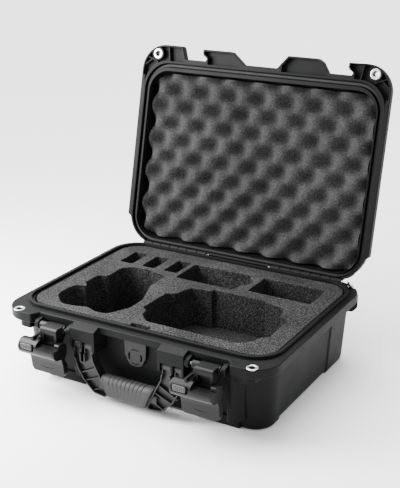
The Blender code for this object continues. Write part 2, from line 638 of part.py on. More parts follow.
# ---- latch ------------------------------------------------------------------------
def latch(side, materials, moving, steel):
    """Link, lever, lever pin and lock slide of one latch."""
    x = LATCH_X if side == "right" else -LATCH_X
    link_axis = axis_empty("link_axis_" + side, x, *LATCH_PIN)
    lever_axis = axis_empty("lever_axis_" + side, x, *LEVER_PIN, parent=link_axis)

    link = prism("latch_link_" + side, fillet(
        [(-137.6, 85.0, 2), (-158.0, 85.2, 4), (-158.0, 59.5, 3), (-151.5, 57.0, 3), (-137.2, 77.0, 3)], 22),
        x - 8.2, x + 15.8, "X")
    add(link, rod("barrel", "X", *LATCH_PIN, 4.8, x - 17.6, x + 17.6, 20))
    cut(link, box("window", x - 2.5, x + 12.5, -160, -155.2, 66.5, 77.5),
        rod("bore", "X", *LATCH_PIN, 2.2, x - 30, x + 30, 12),
        rod("bore", "X", *LEVER_PIN, 2.0, x - 30, x + 30, 12))
    finish(link, materials, link_axis)

    lever = rod("latch_lever_" + side, "X", *BAR, 10.0, x - 29.7, x - 8.7, 28)
    skirt = prism("skirt", fillet(
        [(-160.6, 57.4, 2), (-172.5, 57.0, 3), (-174.6, 51.0, 5), (-166.0, 43.5, 6), (-156.5, 39.0, 8),
         (-155.0, 24.0, 2), (-149.4, 24.0, 2), (-149.4, 40.0, 6), (-153.0, 47.0, 4)], 22),
        x - 24.5, x + 24.0, "X")
    round_ends = prism("ends", fillet([(x - 24.5, 75, 0), (x - 24.5, 24, 8), (x + 24.0, 24, 8),
                                       (x + 24.0, 75, 0)], 22), -190, -140, "Y")
    combine(skirt, [round_ends], "INTERSECT")
    cheek = prism("cheek", fillet(
        [(-148.2, 68.0, 5), (-155.0, 71.8, 5), (-165.0, 68.5, 6), (-172.0, 58.0, 5), (-170.0, 48.0, 5),
         (-153.0, 45.0, 2), (-148.6, 57.0, 4)], 22), x + 16.4, x + 24.0, "X")
    boss = prism("boss", fillet([(-149.0, 68.0, 4.5), (-160.0, 70.5, 3), (-162.0, 52.0, 3), (-149.0, 57.0, 4.5)], 22),
                 x - 14.5, x - 8.7, "X")
    catch = prism("catch", [(-168.0, 68.0), (-168.0, 75.2), (-149.0, 75.2), (-143.8, 73.7), (-143.8, 72.5),
                            (-160.0, 72.5), (-162.0, 68.0)], x - 17.8, x - 10.4, "X")
    add(lever, skirt, cheek, boss, catch)
    cut(lever, prism("slot", round_rect(x - 25.8, x - 11.0, 59.6, 67.6, 2, 2), -180, -168.0, "Y"),
        rod("bore", "X", *LEVER_PIN, 2.0, x - 13.0, x + 22.5, 12))
    for row in range(3):
        z = 33.0 + 3.4 * row
        groove = prism("rib", fillet([(x - 9.0 + row, z, 0), (x, z - 1.6, 14), (x + 9.0 - row, z, 0),
                                      (x + 9.0 - row, z + 1.3, 0), (x, z - 0.3, 14), (x - 9.0 + row, z + 1.3, 0)]),
                       -157.3, -153.0, "Y")
        add(lever, groove)
    finish(lever, materials, lever_axis)

    pin("lever_pin_" + side, x - 12.6, x + 22.1, LEVER_PIN, 1.6, steel, lever_axis)

    slide = prism("latch_slide_" + side, round_rect(x - 25.5, x - 13.9, 59.95, 67.25, 1.6, 2), -174.4, -168.4, "Y")
    grips = [box("grip", x - 24.0 + 2.6 * k, x - 22.7 + 2.6 * k, -175.2, -173.6, 61.0, 66.2) for k in range(4)]
    add(slide, *grips)
    finish(slide, moving, axis_empty("slide_axis_" + side, x - 19.7, *BAR, parent=lever_axis))


# ---- assembly ---------------------------------------------------------------------
def build():
    for obj in list(bpy.data.objects):
        bpy.data.objects.remove(obj)

    shell_black = plastic("shell_black", 0.035, 0.5)
    latch_black = plastic("latch_black", 0.045, 0.38)
    grip_grey = plastic("grip_grey", 0.13, 0.62)
    foam_grey = plastic("foam_grey", 0.16, 0.95)
    crate_grey = plastic("crate_grey", 0.10, 0.95)
    seal_black = plastic("seal_black", 0.02, 0.7)
    steel = plastic("steel", 0.75, 0.28, metallic=1.0)

    lid_axis = axis_empty("lid_axis", 0.0, *HINGE)
    handle_axis = axis_empty("handle_axis", 0.0, *HANDLE)

    base_shell(shell_black)
    base_foam(foam_grey)
    base_pad(foam_grey)
    valve(latch_black, steel, seal_black)
    lid_shell(shell_black, lid_axis)
    lid_foam(crate_grey, lid_axis)
    lid_gasket(seal_black, lid_axis)
    handle_frame(shell_black, handle_axis)
    handle_grip(grip_grey, handle_axis)

    outward = eyelet_turn()
    eyelet("strap_eyelet", Vector(STRAP_EYELET) + outward @ Vector((0, 0, 2.6)), 4.6, steel, None, outward, 0.92)

    for side, sign in (("left", -1), ("right", 1)):
        x, y = EYELET
        eyelet("base_eyelet_" + side, (sign * x, y, RIM_Z), 11.6, steel)
        flip = Matrix.Rotation(math.pi, 3, "X")
        eyelet("lid_eyelet_" + side, (sign * x, y, LID_RIM_Z), 9.4, steel, lid_axis, flip)
        hinge_low, hinge_high = sorted((sign * KNUCKLES[0], sign * KNUCKLES[-1]))
        pin("hinge_pin_" + side, hinge_low, hinge_high, HINGE, 1.7, steel)
        low, high = sorted((sign * 44.8, sign * 76.6))
        pin("handle_pin_" + side, low, high, HANDLE, 1.9, steel)
        low, high = sorted((sign * 80.0, sign * 128.4))
        pin("latch_pin_" + side, low, high, LATCH_PIN, 1.8, steel)
        latch(side, latch_black, shell_black, steel)

    lid_axis.rotation_euler = (math.radians(-LID_OPEN_DEG), 0.0, 0.0)


build()
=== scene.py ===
"""Looks of the drone carrying case: camera, studio, materials and finely built pieces.

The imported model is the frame. Every piece below is built in the row frame, in
millimetres scaled to metres, rides on a CAD body and stands for the CAD nodes it names.
Lid pieces are modelled shut and turned open about the hinge that the record gives.
"""
import json
import math

import bmesh
import bpy
from mathutils import Matrix, Vector, noise


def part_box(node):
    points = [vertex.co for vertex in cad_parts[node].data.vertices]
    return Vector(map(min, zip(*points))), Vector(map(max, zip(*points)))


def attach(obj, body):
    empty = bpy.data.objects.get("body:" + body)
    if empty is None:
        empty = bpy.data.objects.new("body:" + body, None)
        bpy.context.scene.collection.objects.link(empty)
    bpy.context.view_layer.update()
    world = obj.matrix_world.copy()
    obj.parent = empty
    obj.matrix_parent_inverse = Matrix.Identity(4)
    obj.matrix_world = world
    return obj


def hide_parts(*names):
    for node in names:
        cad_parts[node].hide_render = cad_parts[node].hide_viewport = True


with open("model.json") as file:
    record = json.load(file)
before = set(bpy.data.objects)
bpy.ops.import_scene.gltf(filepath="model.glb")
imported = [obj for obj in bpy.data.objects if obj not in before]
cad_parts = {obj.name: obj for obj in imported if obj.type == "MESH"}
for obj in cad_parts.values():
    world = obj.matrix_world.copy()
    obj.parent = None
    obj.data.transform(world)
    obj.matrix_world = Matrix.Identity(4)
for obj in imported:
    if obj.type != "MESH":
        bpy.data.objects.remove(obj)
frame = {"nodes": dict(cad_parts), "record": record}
nodes = frame["nodes"]
record = frame["record"]
joints = {j["name"]: j for j in record["behaviour"]["joints"]}
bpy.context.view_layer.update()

MM = 0.001
WELD_M = 2e-6


def mm(point):
    return tuple(c / MM for c in point)


# ---- where things are, mm, from the record and the CAD boxes ------------------------
HINGE = mm(joints["lid_hinge"]["pos_m"])[1:]
LID_OPEN = joints["lid_hinge"]["range_deg"][1]
HANDLE = mm(joints["handle_swing"]["pos_m"])[1:]
LATCH_X = joints["latch_right_link"]["pos_m"][0] / MM
LATCH_PIN = mm(joints["latch_right_link"]["pos_m"])[1:]
LEVER_PIN = mm(joints["latch_right_lever"]["pos_m"])[1:]
FLANGE_X = mm(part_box("base_shell")[1])[0]
FLANGE_BACK = mm(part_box("base_shell")[1])[1]

RIM_Z = 92.0
FLANGE_FRONT = -147.0
FLANGE_EDGE = -136.0
FLANGE_UNDER = 80.0
CAVITY = (167.5, 117.0)
CAVITY_FLOOR = (162.5, 113.0)
FLOOR_T = 3.0
BODY_HALF = 171
BODY_FRONT = -124.0
BODY_BACK = 122.0
RIDGE_IN = (169.0, -122.0, 117.2)
RIDGE_T = 4.0
RIDGE_R = 32.0
RIDGE_TOP = 96.0
LID_RIM_Z = 92.3
LID_FLANGE_T = 9.7
LID_TOP = 119.0
LID_FRONT = -151.0
LID_LOW_FRONT = -134.0
LID_BACK = 125.2
KNUCKLE_R = 3.9
KNUCKLES = (48.0, 63.0, 79.0, 93.0, 107.0, 121.0, 135.0, 150.0)
KNUCKLE_GAP = 0.4
BARREL_EASE = 0.3
HINGE_BORE = 2.1
PIN_BORE = 2.2
LEVER_BORE = 2.0
ARM_BORE = 2.3
BAR = (-165.0, 61.5)
BAR_R = 10.0
EYELET = (158.5, -138.5)
EYELET_HOLE = 5.4
EYELET_REST = 7.4
STRAP_EYELET = (164.8, 121.4, 91.0)
STRAP_OUT = (0.84, 0.543)
VALVE_BACK = -121.8
VALVE_Z = 59.5
FOAM_TOP = 93.2
# depth below the foam's top from which faces take the darker cut foam: painted shade in the pockets
CUT_SHADE_BELOW = 1.0
PAD_GAP = 0.3
PAD_T = 3.0
LID_FOAM = (163.0, 113.0)
CRATE_PITCH = (42.0, 46.0)
CRATE_PEAK = 96.0
CRATE_DEPTH = 17.0
CRATE_GRID = (218, 152)
CRATE_CORNER = 22.0
CRATE_BROAD = 1.25
SWELL_HEIGHT = 0.6
SWELL_SCALE = 0.028
GROOVE_TOP = 99.4
SEAL_FACE = 96.4
SEAL_BACK = 99.1
GRIP_HALF = 24.6
GRIP_PITCH = 4.6
RIB_HALF = 0.7
ARC_STEP = 9.0

# ---- camera and lights, in metres and degrees ---------------------------------------
LENS_MM = 75.04
SENSOR_MM = 36.0
CAMERA_PLACE = (0.59987, -1.00429, 0.58764)
CAMERA_AZIMUTH = 30.256
CAMERA_ELEVATION = 20.146
CAMERA_ROLL = -0.308
WORLD_STRENGTH = 1.45
SUN_STRENGTH = 6.5
SUN_SPREAD = 60
SUN_PLACE = (-0.35, 0.25, 1.0)
WINDOW_WATTS = 24.0
WINDOW_SIZE = 0.5
WINDOW_PLACE = (-0.5, -0.28, 0.44)
WINDOW_AIM = (0.0, 0.04, 0.12)
FLOOR_HALF = 9000
FLOOR_DROP = -0.2


# ---- camera -------------------------------------------------------------------------
def make_camera():
    """The photograph's viewpoint: 30 degrees to the right of the front, 20 above."""
    data = bpy.data.cameras.new("camera")
    data.lens = LENS_MM
    data.sensor_width = SENSOR_MM
    data.clip_start, data.clip_end = 0.05, 30.0
    obj = bpy.data.objects.new("camera", data)
    bpy.context.collection.objects.link(obj)
    obj.location = CAMERA_PLACE
    azimuth, elevation = math.radians(CAMERA_AZIMUTH), math.radians(CAMERA_ELEVATION)
    forward = Vector((-math.sin(azimuth) * math.cos(elevation),
                      math.cos(azimuth) * math.cos(elevation), -math.sin(elevation)))
    turn = forward.to_track_quat("-Z", "Y").to_matrix()
    obj.rotation_euler = (turn @ Matrix.Rotation(math.radians(CAMERA_ROLL), 3, "Z")).to_euler()
    bpy.context.scene.camera = obj


make_camera()


# ---- outlines -----------------------------------------------------------------------
def fillet(corners, step=ARC_STEP):
    """Closed outline through (x, y, radius) corners, radius 0 for a sharp one."""
    points = []
    count = len(corners)
    for i, (x, y, radius) in enumerate(corners):
        here = Vector((x, y))
        back = Vector(corners[i - 1][:2]) - here
        ahead = Vector(corners[(i + 1) % count][:2]) - here
        if radius <= 0:
            points.append((x, y))
            continue
        turn = back.angle(ahead)
        reach = radius / math.tan(turn / 2)
        middle = here + (back.normalized() + ahead.normalized()).normalized() * (
            radius / math.sin(turn / 2))
        start = here + back.normalized() * reach - middle
        end = here + ahead.normalized() * reach - middle
        sweep = start.angle_signed(end)
        chords = max(2, round(abs(math.degrees(sweep)) / step))
        for k in range(chords + 1):
            spoke = start.copy()
            spoke.rotate(Matrix.Rotation(-sweep * k / chords, 2))
            points.append(tuple(middle + spoke))
    return points


def mirrored(half):
    """Corner list of a shape that is symmetric in x, from its x > 0 half."""
    return half + [(-x, y, r) for x, y, r in reversed(half) if abs(x) > 1e-9]


def round_rect(x0, x1, y0, y1, radius, chords=12):
    """Rounded rectangle with the same number of points whatever its size."""
    points = []
    for cx, cy, first in ((x1 - radius, y1 - radius, 0), (x0 + radius, y1 - radius, 90),
                          (x0 + radius, y0 + radius, 180), (x1 - radius, y0 + radius, 270)):
        for k in range(chords + 1):
            a = math.radians(first + 90 * k / chords)
            points.append((cx + radius * math.cos(a), cy + radius * math.sin(a)))
    return points


def flat_ring(hx, hy, radius, z, chords=12):
    """Ring at height z: a centred rounded rectangle with half sizes hx and hy."""
    return [(x, y, z) for x, y in round_rect(-hx, hx, -hy, hy, radius, chords)]


def span(sign, a, b):
    """Low and high x of the stretch from |x| = a to b on one side."""
    return sorted((sign * a, sign * b))


def circle(cx, cy, radius, segments):
    return [(cx + radius * math.cos(2 * math.pi * (k + 0.5) / segments),
             cy + radius * math.sin(2 * math.pi * (k + 0.5) / segments))
            for k in range(segments)]


def strip(begin, end):
    """Four corners of a rib's thin outline from one point to another."""
    a, b = Vector(begin), Vector(end)
    side = Vector((a.y - b.y, b.x - a.x)).normalized() * RIB_HALF
    return [tuple(c) for c in (a + side, b + side, b - side, a - side)]


def inset(points, depth):
    """The outline moved inwards by depth, each corner along its own bisector."""
    if abs(depth) < 1e-9:
        return list(points)
    count = len(points)
    area = sum(points[i - 1][0] * points[i][1] - points[i][0] * points[i - 1][1]
               for i in range(count))
    turn = 1 if area > 0 else -1
    moved = []
    for i, (x, y) in enumerate(points):
        before, after = points[i - 1], points[(i + 1) % count]
        u = Vector((x - before[0], y - before[1])).normalized()
        v = Vector((after[0] - x, after[1] - y)).normalized()
        nu, nv = Vector((-u.y, u.x)) * turn, Vector((-v.y, v.x)) * turn
        step = (nu + nv) / max(0.4, 1 + nu.dot(nv)) * depth
        moved.append((x + step.x, y + step.y))
    return moved


# ---- solids -------------------------------------------------------------------------
def new_object(name, vertices, faces):
    """Object from millimetre vertices, with its faces turned outwards."""
    mesh = bpy.data.meshes.new(name)
    bm = bmesh.new()
    made = [bm.verts.new(Vector(v) * MM) for v in vertices]
    for face in faces:
        bm.faces.new([made[i] for i in face])
    bmesh.ops.recalc_face_normals(bm, faces=bm.faces)
    bm.to_mesh(mesh)
    bm.free()
    obj = bpy.data.objects.new(name, mesh)
    bpy.context.collection.objects.link(obj)
    return obj


def loft(name, rings):
    """Solid skinned over rings of equal length, closed at both ends."""
    size = len(rings[0])
    vertices = [p for ring in rings for p in ring]
    last = (len(rings) - 1) * size
    faces = [list(range(size))[::-1], [last + i for i in range(size)]]
    for r in range(len(rings) - 1):
        for i in range(size):
            j = (i + 1) % size
            faces.append([r * size + i, r * size + j, (r + 1) * size + j, (r + 1) * size + i])
    return new_object(name, vertices, faces)


PLACE = {"X": lambda a, b, h: (h, a, b),
         "Y": lambda a, b, h: (a, h, b),
         "Z": lambda a, b, h: (a, b, h)}


def slab(name, outline, low, high, axis="Z", r=0.7, steps=3):
    """Outline extruded along an axis, its end edges rounded by r.

    The outline is (x, y) for Z, (x, z) for Y and (y, z) for X.
    """
    place = PLACE[axis]
    arcs = [(r * (1 - math.sin(math.radians(90 * k / steps))),
             r * (1 - math.cos(math.radians(90 * k / steps)))) for k in range(steps + 1)]
    levels = [(d, low + h) for d, h in arcs] if r > 0 else [(0.0, low)]
    levels += [(d, high - h) for d, h in reversed(arcs)] if r > 0 else [(0.0, high)]
    return loft(name, [[place(a, b, h) for a, b in inset(outline, d)] for d, h in levels])


def prism(name, outline, low, high, axis="Z"):
    return slab(name, outline, low, high, axis, 0)


def box(name, x0, x1, y0, y1, z0, z1):
    return prism(name, [(x0, y0), (x1, y0), (x1, y1), (x0, y1)], z0, z1)


def rod(name, axis, a, b, radius, low, high, segments=32, r=0.0):
    """Cylinder along an axis; a and b are its place in the other two coordinates."""
    return slab(name, circle(a, b, radius, segments), low, high, axis, r)


def spin(name, profile, centre, segments, turn=None):
    """Closed (radius, height) profile turned about Z, then placed at centre."""
    size = len(profile)
    vertices = []
    for k in range(segments):
        a = 2 * math.pi * (k + 0.5) / segments
        vertices += [Vector((r * math.cos(a), r * math.sin(a), h)) for r, h in profile]
    if turn is not None:
        vertices = [turn @ v for v in vertices]
    vertices = [v + Vector(centre) for v in vertices]
    faces = []
    for k in range(segments):
        n = (k + 1) % segments
        for i in range(size):
            j = (i + 1) % size
            faces.append([k * size + i, n * size + i, n * size + j, k * size + j])
    return new_object(name, vertices, faces)


def hoop(name, profile, inner, radius):
    """Closed (outward, height) profile carried round a rounded rectangle.

    inner is half width, front and back of the loop that outward is measured from.
    """
    half, front, back = inner
    loops = [[(x, y, h) for x, y in round_rect(-half - d, half + d, front - d, back + d,
                                               radius + d, 14)] for d, h in profile]
    size = len(loops[0])
    vertices = [p for loop in loops for p in loop]
    faces = []
    for k in range(len(loops)):
        n = (k + 1) % len(loops)
        for i in range(size):
            j = (i + 1) % size
            faces.append([k * size + i, k * size + j, n * size + j, n * size + i])
    return new_object(name, vertices, faces)


def combine(target, tools, operation):
    """Joins the tools to the target or cuts them from it, and removes the tools."""
    for tool in tools:
        step = target.modifiers.new("step", "BOOLEAN")
        step.operation = operation
        step.solver = "EXACT"
        step.object = tool
    shape = target.evaluated_get(bpy.context.evaluated_depsgraph_get())
    mesh = bpy.data.meshes.new_from_object(shape)
    target.modifiers.clear()
    old = target.data
    target.data = mesh
    mesh.name = target.name
    bpy.data.meshes.remove(old)
    for tool in tools:
        bpy.data.objects.remove(tool)
    return target


def add(target, *tools):
    return combine(target, tools, "UNION")


def cut(target, *tools):
    return combine(target, tools, "DIFFERENCE")


# ---- materials ----------------------------------------------------------------------
def node(tree, kind, inputs=None, **settings):
    """Adds a shader node; an input that is a socket is linked, any other is set."""
    made = tree.nodes.new("ShaderNode" + kind)
    for key, value in settings.items():
        setattr(made, key, value)
    for key, value in (inputs or {}).items():
        if isinstance(value, bpy.types.NodeSocket):
            tree.links.new(value, made.inputs[key])
        else:
            made.inputs[key].default_value = value
    return made


def start(name):
    material = bpy.data.materials.new(name)
    material.use_nodes = True
    tree = material.node_tree
    return material, tree, tree.nodes["Principled BSDF"], node(tree, "TexCoord").outputs["Object"]


def ramp(tree, factor, *stops):
    """Colour ramp over (position, colour) stops; a single number stands for a grey."""
    made = node(tree, "ValToRGB", {"Fac": factor})
    points = made.color_ramp.elements
    for index, (position, colour) in enumerate(stops):
        point = points[index] if index < 2 else points.new(position)
        point.position = position
        point.color = (*(colour if isinstance(colour, tuple) else (colour,) * 3), 1.0)
    return made.outputs["Color"]


def spread(tree, value, low, high, new_low, new_high):
    return node(tree, "MapRange", {"Value": value, "From Min": low, "From Max": high,
                                   "To Min": new_low, "To Max": new_high}).outputs["Result"]


def noise_of(tree, coords, scale, detail=2.0, roughness=0.5):
    return node(tree, "TexNoise", {"Vector": coords, "Scale": scale, "Detail": detail,
                                   "Roughness": roughness}).outputs["Fac"]


def math_of(tree, operation, a, b):
    made = node(tree, "Math", operation=operation)
    for socket, value in zip(made.inputs, (a, b)):
        if isinstance(value, bpy.types.NodeSocket):
            tree.links.new(value, socket)
        else:
            socket.default_value = value
    return made.outputs[0]


def bump(tree, shader, height, distance):
    made = node(tree, "Bump", {"Height": height, "Distance": distance, "Strength": 1.0})
    tree.links.new(made.outputs["Normal"], shader.inputs["Normal"])


def scaled(colour, share):
    return tuple(c * share for c in colour)


def moulded(name, colour, rough, specular, grain=1500.0, depth=0.00006):
    """Moulded plastic: fine pebbled grain, faint clouding and slightly uneven gloss."""
    material, tree, shader, coords = start(name)
    cloud = noise_of(tree, coords, 22.0, 5.0, 0.6)
    speck = noise_of(tree, coords, grain * 0.6, 2.0, 0.5)
    shade = math_of(tree, "ADD", math_of(tree, "MULTIPLY", cloud, 0.7),
                    math_of(tree, "MULTIPLY", speck, 0.3))
    tree.links.new(ramp(tree, shade, (0.35, scaled(colour, 0.82)), (0.65, scaled(colour, 1.2))),
                   shader.inputs["Base Color"])
    tree.links.new(spread(tree, cloud, 0.3, 0.7, rough - 0.05, rough + 0.06),
                   shader.inputs["Roughness"])
    shader.inputs["Specular IOR Level"].default_value = specular
    pebble = node(tree, "TexVoronoi", {"Vector": coords, "Scale": grain * 0.75, "Smoothness": 0.6},
                  feature="SMOOTH_F1").outputs["Distance"]
    fine = noise_of(tree, coords, grain, 3.0, 0.6)
    bump(tree, shader, math_of(tree, "ADD", pebble, fine), depth)
    return material


def foam(name, dark, mid, light, cell, depth, specks=0.63):
    """Open-cell foam: dark pores and pale skins a millimetre or so across."""
    material, tree, shader, coords = start(name)
    broad = noise_of(tree, coords, 16.0, 3.0, 0.5)
    grain = noise_of(tree, coords, cell, 4.0, 0.7)
    pores = node(tree, "TexVoronoi", {"Vector": coords, "Scale": cell * 1.1},
                 feature="F1").outputs["Distance"]
    drift = math_of(tree, "MULTIPLY", math_of(tree, "SUBTRACT", broad, 0.5), 0.18)
    mixed = math_of(tree, "ADD", grain, drift)
    tree.links.new(ramp(tree, mixed, (0.4, dark), (0.5, mid), (specks, light)),
                   shader.inputs["Base Color"])
    tree.links.new(spread(tree, grain, 0.3, 0.7, 0.88, 1.0), shader.inputs["Roughness"])
    shader.inputs["Specular IOR Level"].default_value = 0.08
    height = math_of(tree, "ADD", math_of(tree, "MULTIPLY", grain, 1.4), pores)
    bump(tree, shader, height, depth)
    return material


def metal(name, colour, rough):
    """Bright steel with a few dull patches and a very fine grain."""
    material, tree, shader, coords = start(name)
    patch = noise_of(tree, coords, 260.0, 4.0, 0.6)
    tree.links.new(ramp(tree, patch, (0.3, scaled(colour, 0.88)), (0.7, colour)),
                   shader.inputs["Base Color"])
    tree.links.new(spread(tree, patch, 0.3, 0.7, rough - 0.06, rough + 0.1),
                   shader.inputs["Roughness"])
    shader.inputs["Metallic"].default_value = 1.0
    bump(tree, shader, noise_of(tree, coords, 2600.0, 2.0, 0.5), 0.00001)
    return material


def rubber(name, colour, rough):
    """Matt rubber with a dry bloom."""
    material, tree, shader, coords = start(name)
    bloom = noise_of(tree, coords, 60.0, 5.0, 0.65)
    tree.links.new(ramp(tree, bloom, (0.3, scaled(colour, 0.8)), (0.7, scaled(colour, 1.22))),
                   shader.inputs["Base Color"])
    tree.links.new(spread(tree, bloom, 0.3, 0.7, rough - 0.06, rough + 0.08),
                   shader.inputs["Roughness"])
    shader.inputs["Specular IOR Level"].default_value = 0.35
    bump(tree, shader, noise_of(tree, coords, 1900.0, 3.0, 0.6), 0.00004)
    return material


SHELL = moulded("shell_plastic", (0.0031, 0.0032, 0.0034), 0.5, 0.08)
LATCH = moulded("latch_plastic", (0.0027, 0.0028, 0.0029), 0.36, 0.17, 2100.0, 0.00003)
SLIDE = moulded("slide_plastic", (0.03, 0.0302, 0.031), 0.36, 0.4, 2100.0, 0.00003)
ARM = moulded("arm_plastic", (0.0052, 0.0053, 0.0054), 0.4, 0.26, 1700.0, 0.00004)
COVER = moulded("valve_plastic", (0.005, 0.0051, 0.0053), 0.4, 0.2, 1900.0, 0.00004)
GRIP = rubber("grip_rubber", (0.0135, 0.0137, 0.0141), 0.6)
SEAL = rubber("seal_rubber", (0.006, 0.006, 0.0062), 0.72)
FOAM = foam("base_foam_grey", 0.006, 0.0175, 0.06, 560.0, 0.0006)
# Cut foam: coarser cells, and darker than the top so as to paint the shade inside the pockets.
CUT_SHADE_FOAM = foam("cut_foam_painted_shade", 0.005, 0.012, 0.04, 520.0, 0.0007)
PAD = foam("pad_foam_grey", 0.007, 0.017, 0.045, 560.0, 0.0006)
CRATE = foam("crate_foam_grey", 0.012, 0.023, 0.055, 620.0, 0.0004, 0.68)
STEEL = metal("eyelet_steel", (0.62, 0.62, 0.63), 0.26)
PIN = metal("pin_steel", (0.55, 0.55, 0.56), 0.38)
# Near-black steel for the bushes' bore walls: painted shade inside the bore, not a finish of the
# steel.
BORE_SHADE_STEEL = metal("bore_painted_shade_steel", (0.05, 0.05, 0.052), 0.5)


# ---- finishing ----------------------------------------------------------------------
def lid_turn():
    y, z = HINGE
    pivot = Vector((0.0, y, z)) * MM
    turn = Matrix.Rotation(math.radians(-LID_OPEN), 4, "X")
    return Matrix.Translation(pivot) @ turn @ Matrix.Translation(-pivot)


def finish(obj, name, material, body, stands_for, angle=35.0, weighted=True):
    """Cleans a piece, shades it, opens it with the lid and hands it to the frame."""
    obj.name = name
    obj.data.name = name
    bm = bmesh.new()
    bm.from_mesh(obj.data)
    bmesh.ops.remove_doubles(bm, verts=bm.verts, dist=WELD_M)
    bmesh.ops.dissolve_degenerate(bm, edges=bm.edges, dist=WELD_M)
    bmesh.ops.recalc_face_normals(bm, faces=bm.faces)
    bm.to_mesh(obj.data)
    bm.free()
    if body == "lid":
        obj.data.transform(lid_turn())
    obj.data.materials.clear()
    obj.data.materials.append(material)
    obj.data.shade_smooth()
    obj.data.set_sharp_from_angle(angle=math.radians(angle))
    if weighted:
        normals = obj.modifiers.new("normals", "WEIGHTED_NORMAL")
        normals.keep_sharp = True
        normals.weight = 80
    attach(obj, body)
    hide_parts(*stands_for)


# ---- base moulding ------------------------------------------------------------------
def base_flange():
    half = [(0.0, FLANGE_BACK, 0), (FLANGE_X, FLANGE_BACK, 38), (FLANGE_X, FLANGE_FRONT, 33),
            (135.5, FLANGE_FRONT, 3), (129.5, FLANGE_EDGE, 2)]
    return fillet(mirrored(half), 5)


def body_ring(step, z, radius):
    """Horizontal section of the tapered body, inset from its widest outline."""
    return [(x, y, z) for x, y in round_rect(-BODY_HALF + step, BODY_HALF - step,
                                             BODY_FRONT + step, BODY_BACK - step, radius)]


def cavity():
    """Hollow of the base, rounded at the floor and at the rim."""
    floor_x, floor_y = CAVITY_FLOOR
    top_x, top_y = CAVITY
    rings = [(floor_x - 5, floor_y - 5, 17, FLOOR_T),
             (floor_x - 3, floor_y - 3, 19, FLOOR_T + 0.5),
             (floor_x - 1.5, floor_y - 1.5, 21, FLOOR_T + 1.6),
             (floor_x, floor_y, 24, FLOOR_T + 5),
             (top_x - 0.1, top_y - 0.1, 30, RIM_Z - 0.9),
             (top_x + 0.2, top_y + 0.2, 30, RIM_Z - 0.3),
             (top_x + 0.8, top_y + 0.8, 30, RIM_Z + 0.01),
             (top_x + 0.8, top_y + 0.8, 30, RIDGE_TOP + 4)]
    return loft("cavity", [flat_ring(*ring) for ring in rings])


def side_recess(sign):
    """Shallow panel between the corner feet of a side wall, its ends eased in."""
    shut = [(161.8, -1.0), (161.8, -0.2), (164.6, 0.9), (166.4, 5.0), (166.3, 12.0), (171.3, 79.5)]
    open_ = [(157.0, -1.0), (157.0, 0.8), (161.8, 2.4), (164.1, 6.5), (164.2, 12.0), (169.2, 79.5)]

    def wall(share, y):
        points = [(a + (c - a) * share, b + (d - b) * share) for (a, b), (c, d) in zip(shut, open_)]
        return [(sign * x, y, z) for x, z in points + [(190.0, 79.5), (190.0, -1.0)]]

    front, back = -82.5, 50.0
    ease = [(-2.6, 0.0), (-1.6, 0.14), (-0.6, 0.44), (0.6, 0.8), (1.8, 0.96), (3.0, 1.0)]
    rings = [wall(share, front + step) for step, share in ease]
    rings += [wall(share, back - step) for step, share in reversed(ease)]
    return loft("recess", rings)


def strap_lug():
    """Diagonal fin on the right rear corner, its slanted top square to the eyelet."""
    x, y, z = STRAP_EYELET
    out = Vector(STRAP_OUT + (0.0,))
    sideways = Vector((-out.y, out.x, 0.0))
    centre = Vector((x, y, 0.0))
    profile = fillet([(-16.0, 62.0, 0), (2.0, 60.0, 3), (8.0, 66.0, 4), (8.0, z - 7.5, 4),
                      (-4.0, z + 6.8, 0), (-4.0, RIM_Z - 0.5, 0), (-16.0, RIM_Z - 0.5, 0)], 10)
    rings = []
    for step, side in ((0.7, -7.2), (0.2, -7.0), (0.0, -6.5), (0.0, 6.5), (0.2, 7.0), (0.7, 7.2)):
        points = [centre + out * d + sideways * side + Vector((0, 0, h))
                  for d, h in inset(profile, step)]
        rings.append([(p.x, p.y, p.z) for p in points])
    return loft("lug", rings)


def eyelet_turn():
    """Rotation that takes +Z to the strap eyelet's outward axis."""
    level_share, rise = 0.766, 0.643
    out = Vector((STRAP_OUT[0] * level_share, STRAP_OUT[1] * level_share, rise))
    return out.to_track_quat("Z", "Y").to_matrix()


def across(name, sign, x0, x1, profile, r=0.6):
    """Slab along X between |x| = x0 and x1 on one side, from a (y, z, radius) profile."""
    return slab(name, fillet(profile), *span(sign, x0, x1), "X", r)


def front_blocks(sign):
    """Handle block, pillars, padlock lug and latch ears on one side of the front."""
    handle = across("block", sign, 43.0, 78.0, [
        (-118.0, 60.0, 0), (-147.0, 62.0, 2), (-147.0, 88.0, 2.5),
        (-136.5, RIM_Z - 0.6, 2), (-118.0, 91.0, 0)])
    inner = across("pillar", sign, 77.0, 84.0, [
        (-118.0, 14.0, 0), (-130.0, 16.0, 5), (-134.0, 30.0, 8),
        (-134.5, 85.0, 2), (-118.0, 86.0, 0)])
    outer = slab("pillar", fillet([(sign * x, y, r) for x, y, r in (
        (124.5, -116.0, 0), (124.5, -135.5, 4), (134.0, -135.5, 9), (142.0, -122.0, 0),
        (140.0, -116.0, 0))]), 14.0, 84.0, r=0.8)
    lug = slab("lug", fillet([(sign * x, y, r) for x, y, r in (
        (139.0, -118.0, 0), (139.0, -143.0, 2), (158.0, -143.0, 12),
        (164.0, -118.0, 0))]), 71.0, 84.0, r=1.0)
    y, z = LATCH_PIN
    ears = [across("ear", sign, x0, x1, [
        (y - 5, z - 5, 4.9), (y - 5, z + 5, 4.9), (y + 9, z + 8, 1), (y + 18, z + 5, 0),
        (y + 18, z - 20, 0), (y + 8, z - 8, 3)]) for x0, x1 in ((78.5, 84.0), (124.0, 129.8))]
    foot = across("foot", sign, 79.0, 134.0, [
        (-108.0, 0.0, 0), (-119.5, 0.0, 2), (-122.0, 6.0, 2), (-122.5, 14.0, 1),
        (-108.0, 14.0, 0)], 1.2)
    return [handle, inner, outer, lug, foot, *ears]


